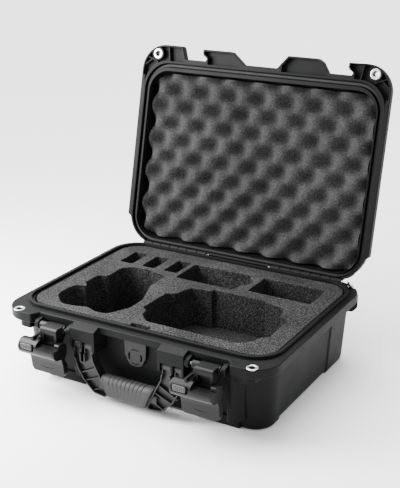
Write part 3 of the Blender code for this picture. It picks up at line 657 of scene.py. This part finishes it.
def flared(name, outline, low, high, flare):
    """Cutter along Z that opens out at its top, so that the rim it leaves is rounded."""
    steps = 3
    levels = [(0.0, low)]
    for k in range(steps + 1):
        a = math.radians(90 * k / steps)
        levels.append((-flare * (1 - math.cos(a)), high - flare * (1 - math.sin(a))))
    levels.append((-flare, high + 6))
    return loft(name, [[(x, y, z) for x, y in inset(outline, d)] for d, z in levels])


def front_cuts(sign):
    """Prong slots and pin bores of one side of the front."""
    def slot(x0, x1):
        return box("slot", *span(sign, x0, x1), -170, HANDLE[0] + 5.4, 50, HANDLE[1] + 5.0)

    def bore(x0, x1, centre):
        return rod("bore", "X", *centre, PIN_BORE, *span(sign, x0, x1), 20)

    pocket = box("latch_pocket", *span(sign, 84.0, 124.5), -150, -122.2, 12, 84.0)
    return [slot(46.8, 60.6), slot(63.4, 75.0), bore(42.0, 77.0, HANDLE),
            bore(79.6, 128.8, LATCH_PIN), pocket]


def base_shell():
    rings = ((11, 0.0, 20), (9.2, 0.4, 21.5), (7.6, 1.4, 23), (6.6, 2.9, 24), (5.9, 5.0, 25),
             (5.3, 8.3, 25.6), (5, 12.0, 26), (0, 82.0, 30))
    shell = loft("base", [body_ring(*ring) for ring in rings])
    add(shell, slab("flange", base_flange(), FLANGE_UNDER, RIM_Z, r=1.4, steps=4), strap_lug())
    for sign in (-1, 1):
        add(shell, *front_blocks(sign))
        for a, b in zip(KNUCKLES[0::2], KNUCKLES[1::2]):
            low, high = span(sign, a, b)
            barrel = rod("barrel", "X", *HINGE, KNUCKLE_R, low + BARREL_EASE, high - BARREL_EASE,
                         36, 0.5)
            foot = box("foot", low + 0.8, high - 0.8, HINGE[0] - 4.1, HINGE[0] + 4.1,
                       RIM_Z - 3, HINGE[1])
            add(shell, add(barrel, foot))
    cut(shell, cavity())
    half, front, back = RIDGE_IN
    cut(shell, prism("step", round_rect(-half, half, front, back, RIDGE_R), RIM_Z, 110))
    add(shell, hoop("ridge", [
        (0.0, RIM_Z - 1), (0.0, RIDGE_TOP - 0.9), (0.25, RIDGE_TOP - 0.3), (0.9, RIDGE_TOP),
        (RIDGE_T - 0.9, RIDGE_TOP), (RIDGE_T - 0.25, RIDGE_TOP - 0.3),
        (RIDGE_T, RIDGE_TOP - 0.9), (RIDGE_T, RIM_Z - 1)], RIDGE_IN, RIDGE_R))
    for sign in (-1, 1):
        cut(shell, side_recess(sign))
        cut(shell, *front_cuts(sign))
        for a, b in zip(KNUCKLES[1::2], KNUCKLES[2::2]):
            stretch = span(sign, a - KNUCKLE_GAP, b + KNUCKLE_GAP)
            cut(shell, rod("clear", "X", *HINGE, KNUCKLE_R + 0.8, *stretch, 32))
        stretch = span(sign, KNUCKLES[0] - 2, KNUCKLES[-1] + 0.6)
        cut(shell, rod("bore", "X", *HINGE, HINGE_BORE, *stretch, 20))
        x, y = EYELET
        cut(shell, rod("hole", "Z", sign * x, y, EYELET_HOLE, FLANGE_UNDER - 1, RIM_Z + 1, 40),
            flared("rest", circle(sign * x, y, EYELET_REST, 40), RIM_Z - 1.3, RIM_Z, 0.3),
            rod("hole", "Z", sign * x, y, 3.8, 60.0, FLANGE_UNDER, 32))
    place = Matrix.Translation(Vector(STRAP_EYELET) * MM) @ eyelet_turn().to_4x4()
    hole = rod("hole", "Z", 0, 0, 4.9, -9, 20, 32)
    rest = rod("rest", "Z", 0, 0, 7.2, 1.3, 20, 40)
    for tool in (hole, rest):
        tool.data.transform(place)
    cut(shell, hole, rest)
    centre = box("centre", -43, 43, -160, -121.5, 14, 83.5)
    relief_front = box("relief", -78, 78, -160, -112.4, -1, 4.0)
    relief_back = box("relief", -118, 118, 111.4, 160, -1, 4.0)
    cut(shell, centre, relief_front, relief_back)
    cut(shell, rod("valve_hole", "Y", 0, VALVE_Z, 6.5, -123, -110, 32),
        rod("seat", "Y", 0, VALVE_Z, 8.8, -123, -119.4, 40))
    finish(shell, "base_moulding", SHELL, "base", ["base_shell"])


# ---- foam ---------------------------------------------------------------------------
def drone_pocket():
    return fillet([
        (-58, 33, 4), (-86, 42, 14), (-113, 40, 12), (-124, 29, 8), (-123, -2, 5), (-136, -7, 8),
        (-136.5, -34, 8), (-126, -43, 2.5), (-144, -47, 14), (-144, -82, 22), (-122, -104, 18),
        (-100, -101, 10), (-88, -96, 15), (-73, -103, 12), (-56, -103, 12), (-41.5, -74, 15),
        (-41.5, -46, 16), (-57, -4, 14)], 8)


def controller_pocket():
    middle = 57.0
    half = [(0, 24.5, 0), (37, 24.5, 2), (37, 19.5, 2), (65, 15.5, 8), (72, -9, 6), (83.5, -14, 4),
            (85, -65, 4), (77, -70, 5), (74, -83, 10), (60, -97, 14)]
    return fillet([(middle + x, y, r) for x, y, r in mirrored(half)], 8)


def base_foam():
    """Cut foam insert: its skin edge is rolled a little and every pocket's rim is eased. Faces
    below the top take the cut-foam material: coarser cells of their own, and a darker colour that
    is painted shade in the pockets.
    """
    low = FLOOR_T + PAD_GAP + PAD_T + PAD_GAP
    rings = [(160.6, 111.1, 23, low), (161.0, 111.5, 23, 9.0), (165.5, 115.1, 28, FOAM_TOP - 2.0),
             (165.6, 115.2, 28, FOAM_TOP - 1.2), (165.3, 114.9, 27.7, FOAM_TOP - 0.4),
             (164.4, 114.0, 27, FOAM_TOP)]
    block = loft("foam", [flat_ring(*ring, 14) for ring in rings])
    pockets = [(drone_pocket(), 34.0), (controller_pocket(), 42.0),
               (round_rect(-44, 41, 37, 89.5, 4, 6), 32.0),
               (circle(37.0, 69.0, 14.5, 40), 40.0),
               (round_rect(58, 143.5, 42.5, 90, 3, 6), 36.0),
               (round_rect(-13.7, 12.0, -130, -108.7, 1.5, 4), 62.0)]
    pockets += [(round_rect(x, x + 19.5, 50.0, 90.0, 1.8, 4), 52.0)
                for x in (-140.5, -105.5, -71.0)]
    for outline, floor in pockets:
        cut(block, flared("pocket", outline, floor, FOAM_TOP, 0.9))
    finish(block, "base_foam_insert", FOAM, "base", ["base_foam"], 30)
    block.data.materials.append(CUT_SHADE_FOAM)
    # painted shade: every face below the top gets the darker cut-foam material, darkening the
    # pockets' walls and floors
    for face in block.data.polygons:
        if mm(face.center)[2] < FOAM_TOP - CUT_SHADE_BELOW:
            face.material_index = 1
    pad_low = FLOOR_T + PAD_GAP
    pad = slab("pad", round_rect(-156.5, 156.5, -107, 107, 16), pad_low, pad_low + PAD_T, r=0.8)
    finish(pad, "base_foam_pad", PAD, "base", ["base_pad"])


# ---- valve --------------------------------------------------------------------------
def valve():
    """Breather valve cover with a plain ring of four arc slots, two wide and two narrow."""
    y, far = VALVE_BACK, 9.7
    plate = slab("plate", fillet([(-15.5, 79.0, 2), (15.5, 79.0, 2), (14.5, 60.0, 6),
                                  (8.0, 47.0, 10), (-8.0, 47.0, 10), (-14.5, 60.0, 6)]),
                 y - 4.6, y, "Y", 0.8)
    for quarter in range(4):
        near = 7.4 if quarter % 2 == 0 else 8.6
        inner, outer = [], []
        for k in range(9):
            a = math.radians(90 * quarter - 30 + 7.5 * k)
            inner.append((near * math.cos(a), VALVE_Z + near * math.sin(a)))
            outer.append((far * math.cos(a), VALVE_Z + far * math.sin(a)))
        cut(plate, prism("arc", inner + outer[::-1], y - 6, y + 1, "Y"))
    finish(plate, "valve_plate", COVER, "base", ["valve_cover"])


# ---- small metal parts --------------------------------------------------------------
def eyelet(name, centre, length, body, turn=None, size=1.0):
    """Flanged steel bush with a rolled rim, its foot one length below the rim. Its bore walls are
    given a near-black steel: painted shade inside the bore.
    """
    bore, shank, rim = 3.4 * size, 5.0 * size, 7.0 * size
    profile = [(bore, -length), (shank, -length), (shank, -1.0), (rim, -1.0), (rim, -0.6),
               (rim - 0.12, -0.3), (rim - 0.45, -0.08), (rim - 0.9, 0.0), (bore + 1.5, 0.0),
               (bore + 0.9, -0.1), (bore + 0.35, -0.4), (bore, -1.1)]
    bush = spin(name, profile, centre, 56, turn)
    finish(bush, name, STEEL, body, [name.replace("bush", "eyelet")], 50, weighted=False)
    # painted shade: the last two rings of faces, the bore walls, take the near-black steel
    bush.data.materials.append(BORE_SHADE_STEEL)
    for face in bush.data.polygons:
        if face.index % len(profile) >= len(profile) - 2:
            face.material_index = 1


# ---- lid ----------------------------------------------------------------------------
def latch_gap(x):
    """Notch in the lid's front flange that a latch link passes through."""
    return [(x - 9.2, LID_LOW_FRONT, 1.5), (x + 22.0, LID_LOW_FRONT, 0), (x + 24.0, -137.5, 1),
            (x + 18.0, -141.5, 0), (x + 17.0, -144.0, 1), (x + 17.0, LID_FRONT + 1.5, 1.2)]


def lid_flange():
    """Lid outline, clockwise seen from above; its rear corners clear the strap lug."""
    rear = [(149.0, LID_BACK, 3), (151.5, 121.6, 2), (157.0, 119.8, 3), (161.0, 116.8, 4),
            (164.8, 111.8, 4), (170.5, 105.0, 4), (174.5, 98.0, 4), (177.0, 91.5, 3),
            (FLANGE_X, 88.0, 3)]
    return fillet(
        rear + [(FLANGE_X, LID_FRONT, 35)]
        + [(x, y, r) for x, y, r in reversed(latch_gap(LATCH_X))]
        + [(87.0, -147.0, 3), (80.0, LID_FRONT, 3), (38.0, LID_FRONT, 3), (28.0, -139.0, 3),
           (24.0, LID_LOW_FRONT, 2), (-24.0, LID_LOW_FRONT, 2), (-28.0, -137.0, 3),
           (-44.0, LID_FRONT + 1.5, 3)]
        + [(x, y, r) for x, y, r in reversed(latch_gap(-LATCH_X))]
        + [(-120.0, LID_FRONT, 3), (-FLANGE_X, LID_FRONT, 35)]
        + [(-x, y, r) for x, y, r in reversed(rear)], 6)


def lid_section(step, z, radius):
    return [(x, y, z) for x, y in round_rect(-170.5 + step, 170.5 - step, -124.5 + step,
                                             LID_BACK - 0.6 - step * 0.6, radius, 14)]


def lid_pockets():
    """Hollows in the front tabs of the lid flange, open to the rim, with corner ribs."""
    low, deep = LID_RIM_Z - 1, LID_RIM_Z + 7.4
    inner = -129.8

    def corner(sign, start):
        outline = fillet([(sign * x, y, r) for x, y, r in start + [
            (179.3, -148.7, 33), (179.3, -108.0, 1.2), (176.4, -108.0, 1.2),
            (176.4, inner, 36)]], 6)
        pocket = prism("pocket", outline, low, deep)
        x, y = EYELET
        cut(pocket, rod("boss", "Z", sign * x, y, 8.9, low - 1, deep + 1, 40))
        for (x0, y0), (x1, y1) in (((158.0, -127.0), (181.0, -136.0)),
                                   ((164.0, -134.0), (182.0, -119.0)),
                                   ((139.0, -128.0), (143.0, -152.0))):
            outline = strip((sign * x0, y0), (sign * x1, y1))
            cut(pocket, prism("rib", outline, LID_RIM_Z + 1.4, deep + 1))
        return pocket

    tab_right = [(79.6, -148.8, 2), (39.4, -148.8, 2), (30.4, -137.6, 2), (30.4, inner, 1),
                 (93.6, inner, 1), (93.6, -133.0, 1), (85.4, -145.2, 2)]
    tab_left = [(-45.6, -147.2, 2), (-85.9, -147.2, 1.5), (-85.9, -143.9, 1), (-79.4, -139.0, 1),
                (-79.4, inner, 1), (-30.0, inner, 1), (-30.0, -137.6, 1)]
    return [corner(1, [(131.2, inner, 1), (131.2, -137.2, 1), (124.3, -142.3, 1),
                       (124.3, -148.7, 2)]),
            corner(-1, [(116.8, inner, 1), (121.8, -148.7, 2)]),
            prism("pocket", fillet(tab_right), low, deep),
            prism("pocket", fillet(tab_left), low, deep)]


def lid_shell():
    shell = slab("lid", lid_flange(), LID_RIM_Z, LID_RIM_Z + LID_FLANGE_T, r=0.9)
    sections = ((0, LID_RIM_Z + 3, 33), (1.5, 112.0, 32), (2.6, 115.2, 31), (4.5, 117.2, 29),
                (6.6, 118.4, 27), (10, LID_TOP, 24))
    add(shell, loft("crown", [lid_section(*section) for section in sections]))
    half, front, back = RIDGE_IN
    clear = 0.8
    groove_in = (half - clear, front + clear, back - clear)
    width = RIDGE_T + 2 * clear
    cut(shell, hoop("groove", [
        (-0.5, LID_RIM_Z - 1), (-0.5, LID_RIM_Z), (0.0, LID_RIM_Z + 0.5), (0.0, GROOVE_TOP),
        (width, GROOVE_TOP), (width, LID_RIM_Z + 0.5), (width + 0.5, LID_RIM_Z),
        (width + 0.5, LID_RIM_Z - 1)], groove_in, RIDGE_R - clear))
    bead = ((2.2, 1), (2.2, 0), (2.5, -0.2), (3.1, -0.2), (3.4, 0), (3.4, 1))
    add(shell, hoop("bead", [(RIDGE_T + d, LID_RIM_Z + h) for d, h in bead], RIDGE_IN, RIDGE_R))
    rings = ((166.8, 116.4, 29.2, LID_RIM_Z - 1), (166.8, 116.4, 29.2, LID_RIM_Z),
             (166.5, 116.1, 29, LID_RIM_Z + 0.5), (166.4, 116.0, 29, 94.0),
             (164.5, 114.5, 27, 113.0), (162.5, 112.5, 25, 115.4),
             (160.0, 110.0, 23, LID_TOP - 3.0))
    cut(shell, loft("hollow", [flat_ring(*ring, 14) for ring in rings]))
    for sign in (-1, 1):
        for a, b in zip(KNUCKLES[1::2], KNUCKLES[2::2]):
            low, high = span(sign, a + KNUCKLE_GAP, b - KNUCKLE_GAP)
            barrel = rod("barrel", "X", *HINGE, KNUCKLE_R, low, high, 32, 0.5)
            web = box("web", low + 0.5, high - 0.5, HINGE[0] - 3.6, HINGE[0] + 0.6,
                      HINGE[1], HINGE[1] + 8)
            add(shell, add(barrel, web))
        for a, b in zip(KNUCKLES[0::2], KNUCKLES[1::2]):
            stretch = span(sign, a - KNUCKLE_GAP, b + KNUCKLE_GAP)
            cut(shell, rod("clear", "X", *HINGE, KNUCKLE_R + 2.0, *stretch, 32))
        stretch = span(sign, KNUCKLES[0] - 3, KNUCKLES[-1] + 3)
        cut(shell, rod("bore", "X", *HINGE, HINGE_BORE, *stretch, 20))
        x, y = EYELET
        low = LID_RIM_Z - 1
        cut(shell, rod("hole", "Z", sign * x, y, EYELET_HOLE, low, LID_RIM_Z + 12, 40),
            rod("rest", "Z", sign * x, y, EYELET_REST, low, LID_RIM_Z + 1.3, 40))
    for pocket in lid_pockets():
        cut(shell, pocket)
    finish(shell, "lid_moulding", SHELL, "lid", ["lid_shell"])


def crate(x, y):
    """Egg-crate wave: +1 on a crest, -1 in a hollow, the crests a little broader."""
    pitch_x, pitch_y = CRATE_PITCH
    wave = -math.cos(2 * math.pi * x / pitch_x) * math.cos(2 * math.pi * y / pitch_y)
    return 1.0 - 2.0 * ((1.0 - wave) / 2) ** CRATE_BROAD


def lid_foam():
    """Egg-crate pad. Its sides are cut square, so crests and hollows show along its edge."""
    hx, hy = LID_FOAM
    nx, ny = CRATE_GRID
    middle = CRATE_PEAK + CRATE_DEPTH / 2
    back = LID_TOP - 3.3
    vertices, faces = [], []
    for j in range(ny + 1):
        for i in range(nx + 1):
            x = -hx + 2 * hx * i / nx
            y = -hy + 2 * hy * j / ny
            reach_x = max(0.0, abs(x) - hx + CRATE_CORNER)
            reach_y = max(0.0, abs(y) - hy + CRATE_CORNER)
            if reach_x > 0 and reach_y > 0:
                square, round_ = max(reach_x, reach_y), math.hypot(reach_x, reach_y)
                x = math.copysign(hx - CRATE_CORNER + reach_x * square / round_, x)
                y = math.copysign(hy - CRATE_CORNER + reach_y * square / round_, y)
            height = crate(x, y)
            edge = min(hx - abs(x), hy - abs(y))
            roll = max(0.0, 1.0 - edge / 1.6)
            z = middle - height * CRATE_DEPTH / 2 + 0.4 * roll * roll
            swell = noise.noise(Vector((x, y, 3.7)) * SWELL_SCALE) * SWELL_HEIGHT
            vertices.append((x, y, z + swell))
    stride = nx + 1
    for j in range(ny):
        for i in range(nx):
            a = j * stride + i
            faces.append([a, a + stride, a + stride + 1, a + 1])
    edge = (list(range(nx)) + [j * stride + nx for j in range(ny)]
            + [ny * stride + i for i in range(nx, 0, -1)] + [j * stride for j in range(ny, 0, -1)])
    last = edge
    for share, taper in ((0.3, 1.0), (0.6, 0.999), (0.82, 0.99), (1.0, 0.965)):
        level = []
        for i in edge:
            x, y, z = vertices[i]
            level.append(len(vertices))
            vertices.append((x * taper, y * taper, z + (back - z) * share))
        for k in range(len(edge)):
            n = (k + 1) % len(edge)
            faces.append([last[k], last[n], level[n], level[k]])
        last = level
    faces.append(last[::-1])
    pad = new_object("crate", vertices, faces)
    finish(pad, "lid_egg_crate", CRATE, "lid", ["lid_foam"], 60, weighted=False)


def lid_gasket():
    """Solid rubber seal in the lid's groove, its face rounded towards the ridge."""
    face, width, clear = SEAL_FACE, RIDGE_T + 0.6, 0.3
    profile = [(0.0, SEAL_BACK), (0.0, face + 1.2), (0.5, face + 0.4), (1.4, face),
               (width - 1.4, face), (width - 0.5, face + 0.4), (width, face + 1.2),
               (width, SEAL_BACK)]
    half, front, back = RIDGE_IN
    seal = hoop("seal", profile, (half - clear, front + clear, back - clear), RIDGE_R - clear)
    finish(seal, "lid_seal", SEAL, "lid", ["lid_gasket"])


# ---- handle -------------------------------------------------------------------------
def handle_arm(sign):
    """Forked C-section arm: two prongs above, one flat blade towards the grip."""
    y, pivot = HANDLE
    blade = [(46.0, 50.0, 3), (37.0, 33.0, 6), (27.0, 11.0, 2), (31.0, 8.0, 4), (47.0, 9.5, 10),
             (62.0, 24.0, 14), (70.0, 38.0, 12), (74.5, 54.0, 0), (74.5, 58.0, 3), (64.0, 58.0, 2),
             (64.0, 46.5, 1.9), (60.0, 46.5, 1.9), (60.0, 58.0, 2), (47.5, 58.0, 2)]
    outline = fillet([(sign * x, z, r) for x, z, r in blade], 9)
    arm = slab("arm", outline, y - 6, y + 6, "Y", 0.5)
    cut(arm, prism("pocket", inset(outline, 1.6), y - 8, y - 1.0, "Y"))
    for x0, x1 in ((47.5, 60.0), (64.0, 74.5)):
        low, high = span(sign, x0, x1)
        prong = rod("prong", "X", y, pivot, 4.5, low, high, 40, 0.5)
        shank = slab("shank", round_rect(low, high, y - 4.2, y + 4.2, 0.8, 3), 55.0, pivot, r=0)
        add(arm, add(prong, shank))
        cut(arm, box("window", low + 1.6, high - 1.6, y - 7, y - 1.0, 50.0, 64.5))
    for begin, end in (((33.0, 20.0), (50.0, 11.5)), ((38.0, 31.5), (60.0, 22.5)),
                       ((44.0, 42.0), (68.0, 30.0))):
        corners = [(sign * x, z) for x, z in strip(begin, end)]
        add(arm, prism("rib", corners, y - 4.6, y - 0.5, "Y"))
    return cut(arm, rod("bore", "X", y, pivot, ARM_BORE, *span(sign, 40, 80), 24))


def handle_frame():
    y = HANDLE[0]
    arms = handle_arm(-1)
    core = prism("core", round_rect(y - 5, y + 5, 14.5, 28.5, 4, 3), -40.0, 40.0, "X")
    add(arms, core, handle_arm(1))
    finish(arms, "handle_arms", ARM, "handle", ["handle_frame"])


def handle_grip():
    """Rubber sleeve with slanted ends, a collar at each and ring grooves on its upper half."""
    y = HANDLE[0]
    middle_z = 21.5
    slope = (38.5 - 25.0) / 27.0 * 0.86
    count = 180
    rings = []
    for k in range(count + 1):
        t = -1 + 2 * k / count
        ends = (1 - abs(t)) * GRIP_HALF
        shrink = 0.9 * (1 - min(1.0, ends / 1.0)) ** 2 if ends < 1.0 else 0.0
        groove = 0.0
        place = (t * 28.0) / GRIP_PITCH
        near = abs(place - round(place)) * GRIP_PITCH
        if abs(round(place)) <= 4 and near < 0.75:
            groove = 0.55 * (1 - (near / 0.75) ** 2)
        collar = 0.35 if 22.2 < abs(t) * GRIP_HALF < 22.9 else 0.0
        section = []
        for a, z in round_rect(y - 9.5, y + 9.5, 8.0, 35.0, 8.5, 10):
            upper = min(1.0, max(0.0, (z - 12.0) / 12.0))
            off = Vector((a - y, z - middle_z))
            off -= off.normalized() * (shrink + groove * upper + collar)
            along = t * (GRIP_HALF + (z - 8.0) * slope)
            section.append((along, y + off.x, middle_z + off.y))
        rings.append(section)
    sleeve = loft("sleeve", rings)
    cut(sleeve, prism("bore", round_rect(y - 5.3, y + 5.3, 14.2, 28.8, 4.3, 3), -60.0, 60.0, "X"))
    finish(sleeve, "handle_sleeve", GRIP, "handle", ["handle_grip"], 50)


# ---- latch --------------------------------------------------------------------------
def latch(side, x):
    """Link, lever and lock slide of one latch; x is its middle."""
    link = slab("link", fillet([(-137.6, 85.0, 2), (-158.0, 85.2, 4), (-158.0, 59.5, 3),
                                (-151.5, 57.0, 3), (-137.2, 77.0, 3)]), x - 8.2, x + 15.8, "X")
    add(link, rod("barrel", "X", *LATCH_PIN, 4.8, x - 17.6, x + 17.6, 40, 0.5))
    cut(link, box("window", x - 2.5, x + 12.5, -160, -155.2, 66.5, 77.5),
        rod("bore", "X", *LATCH_PIN, PIN_BORE, x - 30, x + 30, 24),
        rod("bore", "X", *LEVER_PIN, LEVER_BORE, x - 30, x + 30, 24))
    finish(link, "link_plate_" + side, LATCH, "link_" + side, ["latch_link_" + side])

    lever = slab("lever", circle(*BAR, BAR_R, 64), x - 29.7, x + 24.0, "X", 1.8, 5)
    cut(lever, box("clear", x - 8.7, x + 30, -161.6, -150, 40, 80),
        box("top", x - 3.2, x + 30, -190, -150, 65.5, 80))
    drum = [(BAR[0] + BAR_R * math.cos(math.radians(k)),
             BAR[1] + BAR_R * math.sin(math.radians(k)), 0) for k in range(196, 277, 8)]
    skirt = slab("skirt", fillet(
        [(-160.8, 57.6, 1.5), (-168.0, 60.3, 4)] + drum + [
            (-160.6, 50.4, 2.5), (-158.2, 42.0, 6), (-155.6, 24.0, 2), (-149.4, 24.0, 2),
            (-149.4, 40.0, 6), (-153.0, 47.0, 4)], 8), x - 24.5, x + 24.0, "X", 0.7)
    rounded = fillet([(x - 24.5, 75, 0), (x - 24.5, 24, 8), (x + 24.0, 24, 8),
                      (x + 24.0, 75, 0)], 8)
    combine(skirt, [prism("ends", rounded, -190, -140, "Y")], "INTERSECT")
    cheek = slab("cheek", fillet([
        (-148.6, 66.6, 4), (-154.5, 69.6, 4), (-164.0, 70.0, 3), (-166.0, 53.0, 3),
        (-153.0, 47.0, 3), (-148.8, 57.0, 3)], 8), x + 16.4, x + 23.4, "X", 0.8)
    boss = slab("boss", fillet([(-149.0, 68.0, 4.5), (-160.0, 70.5, 3), (-162.0, 52.0, 3),
                                (-149.0, 57.0, 4.5)]), x - 14.5, x - 8.7, "X", 0.6)
    catch = slab("catch", [
        (-168.0, 68.0), (-168.0, 75.2), (-149.0, 75.2), (-143.8, 73.7), (-143.8, 72.5),
        (-160.0, 72.5), (-162.0, 68.0)], x - 13.6, x - 10.4, "X", 0.3)
    add(lever, skirt, cheek, boss, catch)
    cut(lever, prism("slot", round_rect(x - 26.2, x - 5.6, 59.4, 67.8, 2.4, 5), -180, -168.0, "Y"),
        rod("bore", "X", *LEVER_PIN, LEVER_BORE, x - 13.0, x + 22.5, 24))
    for row in range(3):
        z = 33.0 + 3.4 * row
        add(lever, slab("rib", fillet([
            (x - 9.0 + row, z, 0), (x, z - 1.6, 14), (x + 9.0 - row, z, 0),
            (x + 9.0 - row, z + 1.3, 0), (x, z - 0.3, 14), (x - 9.0 + row, z + 1.3, 0)]),
            -157.3, -153.0, "Y", 0.3))
    finish(lever, "lever_plate_" + side, LATCH, "lever_" + side, ["latch_lever_" + side])

    slide = slab("slide", round_rect(x - 25.5, x - 9.0, 59.95, 67.25, 1.8, 5),
                 -174.4, -168.4, "Y", 0.5)
    grips = [slab("grip", round_rect(x - 23.9 + 2.5 * k, x - 22.8 + 2.5 * k, 61.0, 66.2, 0.5, 2),
                  -175.0, -173.6, "Y", 0.3) for k in range(6)]
    add(slide, *grips)
    finish(slide, "lock_button_" + side, SLIDE, "slide_" + side, ["latch_slide_" + side])


# ---- assembly -----------------------------------------------------------------------
def dress_kept_nodes():
    """Pins, valve core and valve ring keep their CAD shape and get a finished material."""
    valve_parts = {"valve_core": STEEL, "valve_seal": SEAL}
    for name, obj in nodes.items():
        if "_pin_" in name or name in valve_parts:
            obj.data.materials.clear()
            obj.data.materials.append(valve_parts.get(name, PIN))


def studio():
    """Pale floor, white surroundings and two soft lights."""
    world = bpy.data.worlds.new("surroundings")
    world.use_nodes = True
    background = world.node_tree.nodes["Background"]
    background.inputs["Color"].default_value = (1.0, 1.0, 1.0, 1.0)
    background.inputs["Strength"].default_value = WORLD_STRENGTH
    bpy.context.scene.world = world
    corners = ((-1, -1), (1, -1), (1, 1), (-1, 1))
    floor = new_object("floor", [(FLOOR_HALF * x, FLOOR_HALF * y, FLOOR_DROP) for x, y in corners],
                       [[0, 1, 2, 3]])
    material, tree, shader, coords = start("floor_paint")
    tone = noise_of(tree, coords, 1.5, 2.0, 0.5)
    tree.links.new(ramp(tree, tone, (0.0, 0.88), (1.0, 0.92)), shader.inputs["Base Color"])
    shader.inputs["Roughness"].default_value = 0.9
    floor.data.materials.append(material)
    sun = bpy.data.lights.new("overhead", "SUN")
    sun.energy = SUN_STRENGTH
    sun.angle = math.radians(SUN_SPREAD)
    window = bpy.data.lights.new("window", "AREA")
    window.energy = WINDOW_WATTS
    window.size = WINDOW_SIZE
    for data, place, aim in ((sun, SUN_PLACE, (0.0, 0.0, 0.0)),
                             (window, WINDOW_PLACE, WINDOW_AIM)):
        lamp = bpy.data.objects.new(data.name, data)
        bpy.context.collection.objects.link(lamp)
        lamp.location = place
        lamp.rotation_euler = (Vector(place) - Vector(aim)).to_track_quat("Z", "Y").to_euler()


def build():
    """Builds every piece; the strap bush sits out along its own axis."""
    base_shell()
    base_foam()
    valve()
    lid_shell()
    lid_foam()
    lid_gasket()
    handle_frame()
    handle_grip()
    outward = eyelet_turn()
    strap_rim = Vector(STRAP_EYELET) + outward @ Vector((0, 0, 2.6))
    eyelet("strap_bush", strap_rim, 4.6, "base", outward, 0.92)
    for side, sign in (("left", -1), ("right", 1)):
        x, y = EYELET
        eyelet("base_bush_" + side, (sign * x, y, RIM_Z), 11.6, "base")
        eyelet("lid_bush_" + side, (sign * x, y, LID_RIM_Z), 9.4, "lid",
               Matrix.Rotation(math.pi, 3, "X"))
        latch(side, sign * LATCH_X)
    dress_kept_nodes()


build()
studio()
